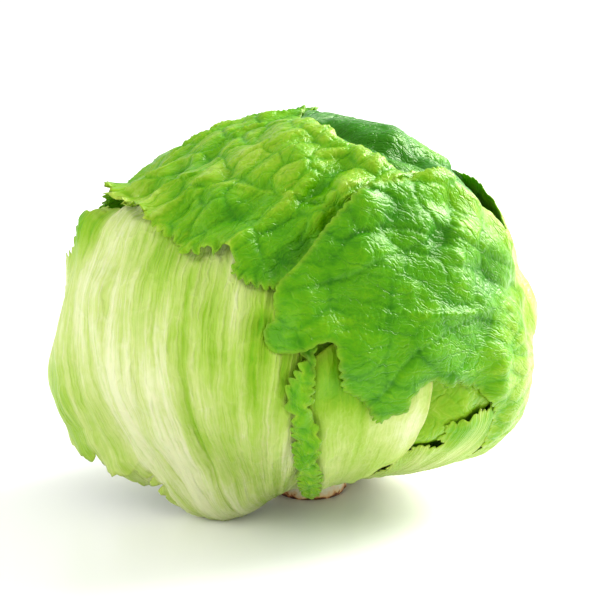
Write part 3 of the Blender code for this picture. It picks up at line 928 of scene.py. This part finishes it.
def squeezed(tree, lengths, across, along):
    """The vein lengths divided by a feature's width and length in mm."""
    scale = tree.nodes.new("ShaderNodeMapping")
    scale.inputs["Scale"].default_value = (1 / across, 1 / along, 1)
    link(tree, lengths, scale.inputs["Vector"])
    return scale.outputs[0]


def stretched_noise(tree, lengths, across, along):
    """Noise less a half, its features `across` wide and `along` long, in mm."""
    texture = noise_texture(tree, squeezed(tree, lengths, across, along), 1.0, 3.0, "2D")
    return math_node(tree, "SUBTRACT", texture.outputs["Fac"], 0.5)


def stretched_net(tree, lengths, across, along, sharpness):
    """1 on the edges between cells and 1 - sharpness times the distance beside them, at least 0."""
    texture = tree.nodes.new("ShaderNodeTexVoronoi")
    texture.voronoi_dimensions = "2D"
    texture.feature = "DISTANCE_TO_EDGE"
    texture.inputs["Scale"].default_value = 1.0
    link(tree, squeezed(tree, lengths, across, along), texture.inputs["Vector"])
    near = math_node(tree, "MULTIPLY", texture.outputs["Distance"], sharpness)
    return math_node(tree, "SUBTRACT", 1.0, math_node(tree, "MINIMUM", near, 1.0))


def colour_ramp(tree, amount, stops):
    """The colour at `amount` along a run of (place, colour)."""
    ramp = tree.nodes.new("ShaderNodeValToRGB")
    elements = ramp.color_ramp.elements
    for element, (place, colour) in zip(elements, (stops[0], stops[-1])):
        element.position, element.color = place, (*colour, 1)
    for place, colour in stops[1:-1]:
        elements.new(place).color = (*colour, 1)
    link(tree, amount, ramp.inputs["Fac"])
    return ramp.outputs["Color"]


def bumped(tree, shader, relief, distance, strength):
    """Tilts the shader's normal by a relief `distance` metres high."""
    bump = tree.nodes.new("ShaderNodeBump")
    bump.inputs["Distance"].default_value = distance
    bump.inputs["Strength"].default_value = strength
    link(tree, relief, bump.inputs["Height"])
    link(tree, bump.outputs["Normal"], shader.inputs["Normal"])


print("texture helpers ready")

# %% Colours and fields of a leaf
GREENS = [(0.0, (0.022, 0.18, 0.0)), (0.2, (0.07, 0.30, 0.0)), (0.35, (0.125, 0.37, 0.0)),
          (0.5, (0.23, 0.44, 0.012)), (0.65, (0.37, 0.54, 0.075)), (0.8, (0.52, 0.63, 0.19)),
          (1.0, (0.74, 0.77, 0.45))]
RIM_YELLOW, RIM_SHARE, GRAIN = (0.50, 0.58, 0.05, 1), 0.22, 0.16


def field(tree, name):
    """The number that the mesh carries under a name."""
    node = tree.nodes.new("ShaderNodeAttribute")
    node.attribute_name = name
    return node.outputs["Fac"]


def swayed_lengths(tree, sway):
    """The vein lengths plus sway times a slow noise, so that no vein runs dead straight."""
    uv = tree.nodes.new("ShaderNodeUVMap")
    uv.uv_map = "lengths"
    warp = noise_texture(tree, uv.outputs[0], 0.16, 3.0, "2D")
    shift = tree.nodes.new("ShaderNodeVectorMath")
    shift.operation = "MULTIPLY_ADD"
    link(tree, warp.outputs["Color"], shift.inputs[0])
    shift.inputs[1].default_value = sway
    link(tree, uv.outputs[0], shift.inputs[2])
    return shift.outputs[0]


def specks(tree):
    """A fine even grain less a half, over the object's own coordinates."""
    place = tree.nodes.new("ShaderNodeTexCoord")
    grain = noise_texture(tree, place.outputs["Object"], 300.0, 4.0)
    return math_node(tree, "SUBTRACT", grain.outputs["Fac"], 0.5)


def yellow_rim(tree, colour):
    """The colour mixed with yellow by a share of the rim field."""
    rim = tree.nodes.new("ShaderNodeMix")
    rim.data_type = "RGBA"
    rim.inputs["B"].default_value = RIM_YELLOW
    link(tree, math_node(tree, "MULTIPLY", field(tree, "rim"), RIM_SHARE), rim.inputs["Factor"])
    link(tree, colour, rim.inputs["A"])
    return rim.outputs["Result"]


print(len(GREENS), "greens on the ramp")

# %% Leaf material
LIGHT_THROUGH = 0.12
BRANCHES, NET = (5.5, 15.0, 11.0), (1.7, 3.2, 5.0)
WIDE_STREAKS, MARGIN_STEP_STREAKS = (3.2, 50.0), (0.75, 18.0)


def waxy(shader, roughness):
    """A soft wet sheen, tinted as the wax is, and a little light scattered inside the blade."""
    shader.inputs["Roughness"].default_value = roughness
    shader.inputs["Specular IOR Level"].default_value = 0.30
    shader.inputs["Specular Tint"].default_value = (0.85, 1.0, 0.42, 1)
    shader.inputs["Subsurface Weight"].default_value = 0.12
    shader.inputs["Subsurface Radius"].default_value = (0.35, 0.8, 0.05)
    shader.inputs["Subsurface Scale"].default_value = 0.002


def lets_light_through(tree, shader, colour):
    """Mixes in a share of translucent light of the leaf's own colour."""
    through = tree.nodes.new("ShaderNodeBsdfTranslucent")
    link(tree, colour, through.inputs["Color"])
    mix = tree.nodes.new("ShaderNodeMixShader")
    mix.inputs[0].default_value = LIGHT_THROUGH
    link(tree, shader.outputs[0], mix.inputs[1])
    link(tree, through.outputs[0], mix.inputs[2])
    link(tree, mix.outputs[0], tree.nodes["Material Output"].inputs["Surface"])


def leaf_material(name, tint, tall, gloss, streak, sway):
    """Ramp at pale + tint (vein, branches, net) + streaks + grain; bump of tall times the same."""
    material, tree, shader = new_material(name)
    lengths = swayed_lengths(tree, sway)
    branches = stretched_net(tree, lengths, *BRANCHES)
    net = stretched_net(tree, lengths, *NET)
    wide = stretched_noise(tree, lengths, *WIDE_STREAKS)
    fine = stretched_noise(tree, lengths, *MARGIN_STEP_STREAKS)
    grain = specks(tree)
    total = added(tree, (field(tree, "pale"), 1.0), (field(tree, "vein"), tint[0]),
                  (branches, tint[1]), (net, tint[2]), (wide, streak), (fine, streak * 0.8),
                  (grain, GRAIN))
    colour = yellow_rim(tree, colour_ramp(tree, total, GREENS))
    link(tree, colour, shader.inputs["Base Color"])
    waxy(shader, gloss)
    relief = added(tree, (branches, tall[0]), (net, tall[1]), (wide, tall[2]), (fine, tall[3]),
                   (grain, 1.0))
    bumped(tree, shader, relief, distance=0.0004, strength=0.8)
    lets_light_through(tree, shader, colour)
    return material


PALE_BLADE = leaf_material("pale_blade", tint=(0.06, 0.03, 0.0), tall=(0.6, 0.0, 2.2, 2.0),
                           gloss=0.40, streak=0.36, sway=(1.3, 6.0, 0))
SMOOTH_BLADE = leaf_material("smooth_pale_blade", tint=(0.03, 0.02, 0.03), tall=(0.3, 0.1, 1.2, 0.8),
                             gloss=0.42, streak=0.16, sway=(2.0, 6.0, 0))
GREEN_BLADE = leaf_material("green_blade", tint=(-0.08, -0.05, 0.04), tall=(-0.55, -0.3, 0.7, 0.4),
                            gloss=0.29, streak=0.22, sway=(5.0, 5.0, 0))
print("leaf materials:", PALE_BLADE.name, SMOOTH_BLADE.name, GREEN_BLADE.name)

# %% [markdown]
# ## How each leaf looks
# The leaves share one recipe and differ in its amounts, as leaves of one head do, so a leaf's look is
# the plain look with some values changed. Lists of four give (longitude, latitude, amount, spread in
# degrees). Creases and veins give (stops, depth in mm, width in degrees), and a minus depth is a
# ridge. `deepest` is how far in mm a hollow may go into the gap under the leaf.

# %% The plain look
PLAIN = dict(
    style="blistered", step=0.7, tooth=0.5, period=2.3, frill=2.0, frill_length=4.0, source=(0, -76),
    at=60, cell=10.0, stretch=1.5, blister=0.9, gather=0.6, gather_width=9.0, sway=1.0, rib=0.5,
    calm=[], dents=[], creases=[], veins=[], curls=[], curl=0.0, press=[], smooth=[], keel_width=6.0,
    rib_zone=0, pale=0.3, keel_pale=0.25, foot_pale=0.45, tints=[], streak=0.15, mottle=0.12,
    deepest=0.9)
LOOKS = {}
print("the plain look has", len(PLAIN), "values")

# %% [markdown]
# ### Looks of the leaves at the back
# These are seen in slits from the front and whole from behind. The back leaf is coloured dark where it
# lies in the troughs, as painted shade, and its creases are those troughs, so they are the deepest of
# all and darken it most.

# %% Looks of the leaves at the back
LOOKS["back_left_leaf"] = dict(
    PLAIN, step=0.85, source=(-128, -76), pale=0.5, rib=0.5, style="ribbed", keel_pale=0.35,
    streak=0.3, tooth=0.8)
# Painted shade: the minus tints and the deep creases darken the back leaf in the troughs, and its low
# paleness is partly painted shade too.
LOOKS["back_leaf"] = dict(
    PLAIN, step=0.9, deepest=9.0, source=(146, -76), pale=0.12, cell=12, blister=1.2, tooth=0.4,
    frill=0.5,
    tints=[(58, 78, -0.2, 10), (85, 60, -0.2, 9), (105, 38, -0.15, 8), (20, 80, -0.15, 12)],
    creases=[([(0, 84), (48, 80), (50, 70), (60, 60), (72, 54)], 6.5, 3.4),
             ([(90, 56), (95, 47), (102, 39)], 5.0, 2.3),
             ([(112, 36), (100, 30), (97, 22)], 3.0, 2.5)],
    dents=[(86, 66, 2.0, 4)])
print("looks so far:", len(LOOKS))

# %% [markdown]
# ### Looks of the pale leaves
# They are ribbed: firm, whitish at the midrib, green only towards their margins.

# %% Looks of the pale leaves
LOOKS["under_left_leaf"] = dict(
    PLAIN, step=0.62, source=(-56, -76), style="ribbed", pale=0.55, tooth=1.1, period=2.2, frill=3.5,
    streak=0.25, foot_pale=0.2,
    tints=[(-92, 15, -0.3, 10)])
LOOKS["left_leaf"] = dict(
    PLAIN, step=0.55, source=(-34, -74), style="ribbed", at=50, pale=0.74, rib=1.25, keel_width=8.0,
    keel_pale=0.16, foot_pale=0.0, streak=0.55, mottle=0.12, tooth=1.8, period=3.2, frill=2.5,
    dents=[(-88, -22, 2.8, 8), (-12, 9, -2.4, 2.2)],
    press=[(-2, 5, 0.8, 20)],
    tints=[(-8, -2, -0.3, 12), (-30, -8, 0.12, 9), (-44, 10, -0.05, 10), (-36, -55, -0.06, 12),
           (-40, 24, -0.15, 9), (-85, -10, 0.06, 16), (-86, 21, -0.6, 6)])
LOOKS["lower_right_leaf"] = dict(
    PLAIN, step=0.62, source=(60, -78), style="ribbed", pale=0.62, rib=0.6, keel_pale=0.1,
    foot_pale=0.1, streak=0.35, tooth=1.2, period=2.4, frill=0.9,
    tints=[(40, -23, -0.35, 5), (58, -21, -0.3, 5)],
    dents=[(46, -23, 2.4, 6)])
LOOKS["front_leaf"] = dict(
    PLAIN, step=0.5, source=(14, -78), style="ribbed", pale=0.66, rib=0.4, tooth=0.0, frill=0.0,
    keel_pale=0.05, foot_pale=0.0, streak=0.2,
    tints=[(8, -8, -0.25, 7), (10, 0, -0.2, 8), (30, -22, 0.25, 6)])
print("looks so far:", len(LOOKS))

# %% [markdown]
# ### Looks of the strip and the top leaf
# Both are green and tender. The top leaf is puckered in long gathers that come over from behind,
# has a row of flipped frills at the upper left, and folds along its right margin.

# %% Looks of the strip and the top leaf
LOOKS["strip_leaf"] = dict(
    PLAIN, step=0.36, source=(0, -78), pale=0.2, cell=5, blister=0.5, tooth=1.3, period=3.1,
    frill=1.6, gather=0.4, gather_width=5, foot_pale=0.1, sway=0.4, keel_pale=0.22, keel_width=2.2,
    streak=0.2)
LOOKS["top_leaf"] = dict(
    PLAIN, step=0.62, source=(121, 33), at=70, cell=8, stretch=1.9, blister=1.4, gather=1.8,
    gather_width=8, pale=0.385, tooth=1.5, period=3.3, frill=4.5, curl=0.6, foot_pale=0.3, streak=0.3,
    keel_pale=0.0,
    smooth=[(38, 52, 1.2, 14), (20, 70, 1.2, 14), (-150, 84, 1.2, 18)],
    press=[(30, 60, 0.5, 20), (-20, 80, 2.0, 25)],
    tints=[(-50, 31, 0.2, 4), (-66, 32, 0.3, 5), (-30, 70, 0.1, 20), (-14, 30, -0.1, 9)],
    curls=[(-80, 30, 0.9, 4), (-66, 30, 0.8, 4), (-55, 30, 0.7, 4), (0, 84, -1.0, 22)],
    creases=[([(15, 54.7), (6, 50.4), (2, 45.7), (0.4, 43.2)], 3.4, 2.2),
             ([(2.6, 42.2), (7.4, 41.2), (11.7, 40)], 1.2, 1.0),
             ([(2.6, 43.6), (7.4, 42.8), (11.7, 41.6)], -1.0, 0.7),
             ([(-59, 53), (-64, 58), (-69, 62)], 2.2, 2.0),
             ([(-67, 37), (-61, 42), (-71, 49)], 2.0, 2.0),
             ([(-45, 32), (-40, 40), (-38, 50)], 1.6, 2.0),
             ([(-9, 22), (0, 30), (8, 37)], 3.0, 2.0),
             ([(-30, 55), (-20, 62), (0, 66)], 1.4, 1.8),
             ([(-32, 30), (-22, 38), (-18, 46)], 1.6, 1.8)],
    veins=[([(-41, 37.7), (-42.2, 41.3), (-38.3, 44.2), (-29.1, 45.9), (-19.3, 45.1), (-8, 44.5),
             (2.6, 43.3)], -0.7, 0.7)],
    dents=[(-26, 36, -2.6, 3.6), (-11, 33, -2.4, 4.0), (-15, 38, 1.0, 3), (-12, 52, 1.2, 6),
           (-18, 30, 1.0, 4), (-165, 73, -5.0, 9), (-60, 84, -2.0, 10)])
print("looks so far:", len(LOOKS))

# %% [markdown]
# ### Look of the right leaf
# It is smooth and dark where it is stretched over the front, blistered and paler where it turns to
# the right. Its long veins and its deeper pits are placed one by one, and painted shade darkens the
# pits.

# %% Look of the right leaf
LOOKS["right_leaf"] = dict(
    PLAIN, step=0.6, source=(92, -10), at=60, cell=13, blister=0.95, rib_zone=14, gather=0.7,
    gather_width=12, pale=0.19, tooth=0.9, period=2.8, frill=1.0, mottle=0.16, streak=0.16,
    keel_pale=0.3, foot_pale=0.4, keel_width=15,
    smooth=[(0, 25, 0.9, 12), (-8, 4, 0.8, 5)],
    press=[(-5, 8, 0.9, 14), (60, -20, 2.0, 16), (80, -50, 2.5, 25), (30, 45, 0.8, 14)],
    calm=[(5, 8, -0.95, 19), (25, -8, -0.85, 17), (62, 22, 0.9, 15), (16, 36, 1.0, 8)],
    # Painted shade: the minus tints at (28, 36) and (58, 15) darken the pits dented there.
    tints=[(75, 5, 0.09, 15), (62, -2, 0.1, 8), (60, 34, 0.14, 12), (72, -22, 0.14, 12),
           (28, 36, -0.08, 6), (58, 15, -0.1, 5), (75, -30, 0.17, 22), (5, 5, 0.05, 14)],
    dents=[(41.6, 28, -4.6, 2.4), (17, 38.5, 2.0, 3), (50, 2.2, -2.2, 3.0), (52.4, 7.2, 0.8, 2.5),
           (20, 29, 1.2, 5), (27, 36, -1.6, 6), (58, 15.6, -1.5, 4), (25, 14, -0.6, 1.3),
           (30, 13, -0.7, 1.3), (27.5, 16, 0.5, 1.6)],
    creases=[([(39.5, 27), (42, 24.5), (45.3, 21)], -1.0, 1.2),
             ([(48, 44), (58, 39), (66, 33), (72, 27), (74, 20)], -1.6, 2.6),
             ([(62, 44), (72, 36), (80, 26)], 1.8, 2.2),
             ([(29.9, 8.6), (38.6, 8.2), (44.1, 7.2), (52, 7.5), (59.3, 5.4)], -0.8, 0.9)],
    veins=[([(47.5, 30.1), (35.6, 27.4), (26.6, 25.8), (21, 24.7), (13, 21.5), (8.9, 20), (2.3, 18.6),
             (-5.1, 17.3)], 0.8, 0.55),
           ([(60.9, -0.3), (49.2, 5.2), (37.8, 4.3), (27.3, 0.7), (22, -3.7), (18.5, -9.5)], 0.7,
             0.5),
           ([(46, 7.2), (35, 9.1), (23.1, 10.6), (12.3, 10.2), (2.1, 9.2), (-6.1, 6.8)], -0.6, 0.5),
           ([(64, -6), (54, -6), (48, -9), (41, -11)], 0.4, 0.5),
           ([(40, 28), (30, 32), (20, 33), (10, 30)], 0.7, 0.5),
           ([(23, 10.6), (16, 14), (8, 15)], 0.3, 0.45),
           ([(27.3, 0.7), (16, 0), (8, 2)], 0.3, 0.45)])
print("looks so far:", len(LOOKS))

# %% [markdown]
# ## Making the leaves
# Every leaf is worked out and finished the same way, so one loop makes all nine. The ribbed ones get
# the pale material, the front leaf a smoother one, and the blistered ones the glossier green one.

# %% Leaf pieces
FINISHES = {"ribbed": PALE_BLADE, "blistered": GREEN_BLADE}
for leaf in LEAVES:
    points, faces, fields, lengths = blade(leaf, LOOKS[leaf.name])
    finish = SMOOTH_BLADE if leaf is front_leaf else FINISHES[LOOKS[leaf.name]["style"]]
    piece = add_piece(leaf.name + "_blade", points, faces, finish, fields, lengths)
    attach(piece, "root")
    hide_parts(leaf.name)

# %% [markdown]
# ## Heart
# The heart is the tight ball of inner leaves. Only slits of it show between the wrappers, so it isn't
# built leaf by leaf: it is the ball itself, wrinkled like the outermost of its leaves, swollen where
# it fills the opening at the lower right, and hollowed under the back leaf's troughs. It is a grid
# of longitudes and latitudes, closed round the stem by a narrow socket.

# %% Bands of faces
HEART_FILLS = [(48, -13, 0.6, 4.0), (44, -20, 4.2, 4.5), (36, -26, 3.6, 4.0), (56, -17, 3.0, 3.5)]
HEART_CROWN, HEART_FOLD, HEART_WRINKLE = 84, 0.8, 0.7


def ring_faces(rows, around):
    """Two triangles for each square of a closed band of rows, then fans to two poles."""
    r, k = np.meshgrid(np.arange(rows - 1), np.arange(around), indexing="ij")
    a, b = r * around + k, r * around + (k + 1) % around
    a, b = a.ravel(), b.ravel()
    band = [np.stack([a, b, b + around], -1), np.stack([a, b + around, a + around], -1)]
    k = np.arange(around)
    after = (k + 1) % around
    count, last = rows * around, (rows - 1) * around
    poles = [np.stack([np.full(around, count), after, k], -1),
             np.stack([np.full(around, count + 1), last + k, last + after], -1)]
    return np.concatenate(band + poles)


print("a band of 2 rows of 8 has", len(ring_faces(2, 8)), "triangles")


# %% Heart
def heart_grid(around=220, up=120):
    """Rows of the heart's radius less its folds, a socket row below them, and the two poles."""
    lon = np.arange(around) * 360 / around
    rise = STEM_HEIGHT - HEAD_CENTRE[2] + CLEAR
    start = -math.degrees(math.acos((STEM_RADIUS + CLEAR) / BALL_BOTTOM))
    lat = np.linspace(start, HEART_CROWN, up)[:, None]
    d = direction(lon[None, :], lat + np.zeros((1, around)))
    fade = smooth_step(lat, start, -50)
    folds = HEART_FOLD * np.sin(np.radians(lon[None, :] * 5 + lat * 3)) * fade
    far = lon[None, :] * 0.02 + lat * 0.09
    sway = np.sin(np.radians(lon))[None, :] * 3
    wrinkles = -HEART_WRINKLE * ridged(far + sway, lat / 9 + 0 * far, 91)
    wrinkles = wrinkles + swell(d, HEART_FILLS)
    wrinkles = wrinkles + creases(d, LOOKS["back_leaf"]["creases"])
    shell = d * (heart_radius(d) + np.minimum(folds, 0) + wrinkles * fade)[..., None]
    ring = np.stack([np.sin(np.radians(lon)), -np.cos(np.radians(lon)), np.zeros(around)], axis=-1)
    socket = ring * (STEM_TOP_RADIUS + CLEAR) + [0, 0, rise]
    shell[0] = ring * (STEM_RADIUS + CLEAR) + [0, 0, shell[0, 0, 2]]
    poles = np.array([[0, 0, rise], [0, 0, heart_radius(direction(0, 90)).item()]])
    rows = np.concatenate([socket[None], shell]).reshape(-1, 3)
    return np.concatenate([rows, poles]), ring_faces(up + 1, around)


heart, faces = heart_grid()
turn = np.arctan2(heart[:, 0], -heart[:, 1]) * 40
streaks = layered(turn / 9, heart[:, 2] / 30, 5)
fields = {"pale": 0.30 + 0.3 * streaks, "vein": 0 * turn, "rim": 0 * turn}
piece = add_piece("heart_leaves", heart, faces, GREEN_BLADE, fields, np.stack([turn, heart[:, 2]], -1))
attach(piece, "root")
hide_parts("heart")

# %% [markdown]
# ## Stem
# The stem is what is left where the head was cut from its root. Its face is flat, so the head stands
# on it, and its side is knobbly with leaf scars. It narrows up into the heart. A cylinder could be
# sculpted. Rings whose radius is a profile less waves and noise give the same and stay even.


# %% Stem
def stem_points(around=160):
    """Rings from the cut face up the taper: radius less knobs, roughened by noise round the side."""
    turn = np.arange(around) * 2 * math.pi / around
    bottom = -HEAD_CENTRE[2]
    low, side = np.linspace(STEM_BEVEL, 5, 12), np.linspace(5.6, 14, 16)
    heights = np.concatenate([[0, 0.35], low, side, [24, 34, STEM_HEIGHT]])
    radii = np.interp(
        heights, [0, STEM_BEVEL, 5, 12, STEM_HEIGHT],
        [STEM_RADIUS - STEM_BEVEL, STEM_RADIUS, STEM_RADIUS, STEM_RADIUS - 0.3, STEM_TOP_RADIUS])
    knob = np.interp(heights, [0, STEM_BEVEL, 5, 12, STEM_HEIGHT], [0, 1, 0.5, 0, 0])
    x, y = np.meshgrid(turn * STEM_RADIUS, heights)
    worn = np.interp(heights, [0, 0.4, 8, 14], [0, 1, 1, 0])[:, None]
    rough = 0.45 * layered(x / 2.2, y / 1.1, 13) * worn
    radius = radii[:, None] - STEM_RIDGE * knob[:, None] * (0.5 + 0.5 * np.sin(turn * 7)) - rough
    rows = np.stack([np.sin(turn) * radius, -np.cos(turn) * radius, bottom + y], -1)
    poles = np.array([[0, 0, bottom], [0, 0, bottom + STEM_HEIGHT]])
    return np.concatenate([rows.reshape(-1, 3), poles]), ring_faces(len(heights), around)


print("stem", STEM_HEIGHT, "mm tall,", 2 * STEM_RADIUS, "mm across")

# %% [markdown]
# ## Cut flesh
# The flesh is cream when it is cut and turns orange brown as it dries, first at the rim of the cut.
# So the colour is a ramp over the height above the cut, shifted by blotches, and not a painted band.

# %% Stem material and piece
FLESH = [(0.0, (0.10, 0.025, 0.008)), (0.12, (0.46, 0.16, 0.04)), (0.26, (0.84, 0.56, 0.26)),
         (0.6, (0.90, 0.86, 0.64)), (1.0, (0.86, 0.84, 0.62))]
BROWN_PER_METRE, BLOTCH_SHARE = 150.0, 1.4


def stem_material():
    """A ramp at height times brown per metre plus blotches; the blotches are the bump too."""
    material, tree, shader = new_material("cut_core")
    place = tree.nodes.new("ShaderNodeTexCoord")
    parts = tree.nodes.new("ShaderNodeSeparateXYZ")
    link(tree, place.outputs["Object"], parts.inputs[0])
    blotch = noise_texture(tree, place.outputs["Object"], 320.0, 5.0).outputs["Fac"]
    low = math_node(tree, "MULTIPLY", parts.outputs["Z"], BROWN_PER_METRE)
    shift = math_node(tree, "MULTIPLY", math_node(tree, "SUBTRACT", blotch, 0.5), BLOTCH_SHARE)
    level = math_node(tree, "ADD", low, shift)
    link(tree, colour_ramp(tree, level, FLESH), shader.inputs["Base Color"])
    bumped(tree, shader, blotch, distance=0.0006, strength=1.0)
    shader.inputs["Roughness"].default_value = 0.7
    return material


points, faces = stem_points()
piece = add_piece("stem_core", points, faces, stem_material())
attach(piece, "root")
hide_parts("stem")

# %% [markdown]
# ## Stage
# The head stands on a pale, faintly glossy floor in soft white light. One big light high on the right
# behind gives the sheen on the right leaf and the pale glow of the far margins. A weaker one at the
# left fills the shadows. The camera looks down by 15 degrees, as the photograph does.

# %% Floor and white surroundings
bpy.ops.mesh.primitive_plane_add(size=8.0)
floor = bpy.context.object
floor.name = "floor"
white, _, shader = new_material("floor_white")
shader.inputs["Base Color"].default_value = (0.93, 0.93, 0.92, 1)
shader.inputs["Roughness"].default_value = 0.30
shader.inputs["Specular IOR Level"].default_value = 0.35
floor.data.materials.append(white)
world = bpy.data.worlds.new("soft_white")
bpy.context.scene.world = world
world.use_nodes = True
world.node_tree.nodes["Background"].inputs["Color"].default_value = (1, 1, 1, 1)
world.node_tree.nodes["Background"].inputs["Strength"].default_value = 1.0
print("floor 8 m wide")

# %% Lights
LIT_PLACE = Vector((0.004, 0.002, 0.07))


def add_area(name, place, size, power):
    """A square light at a place in metres, facing the head's centre."""
    data = bpy.data.lights.new(name, "AREA")
    data.size, data.energy = size, power
    light = bpy.data.objects.new(name, data)
    bpy.context.scene.collection.objects.link(light)
    light.location = place
    light.rotation_euler = (Vector(place) - LIT_PLACE).to_track_quat("Z", "Y").to_euler()
    print(name, power, "W")


add_area("key", (0.75, 0.44, 0.62), 0.75, 29.0)
add_area("fill", (-0.9, -0.4, 0.45), 1.0, 5.5)

# %% Camera
VIEW_RISE, VIEW_FAR, VIEW_ASIDE = math.radians(15), 0.8036, -0.00357
camera = bpy.data.cameras.new("photo_view")
camera.lens, camera.sensor_width, camera.clip_start = 135, 36, 0.01
eye = bpy.data.objects.new("photo_view", camera)
bpy.context.scene.collection.objects.link(eye)
bpy.context.scene.camera = eye
back = Vector((0, -math.cos(VIEW_RISE), math.sin(VIEW_RISE)))
eye.location = Vector(HEAD_CENTRE * METRE) + Vector((VIEW_ASIDE, 0, 0)) + back * VIEW_FAR
eye.rotation_euler = (-back).to_track_quat("-Z", "Y").to_euler()
bpy.context.scene.view_settings.view_transform = "Standard"
print("camera", VIEW_FAR, "m away")
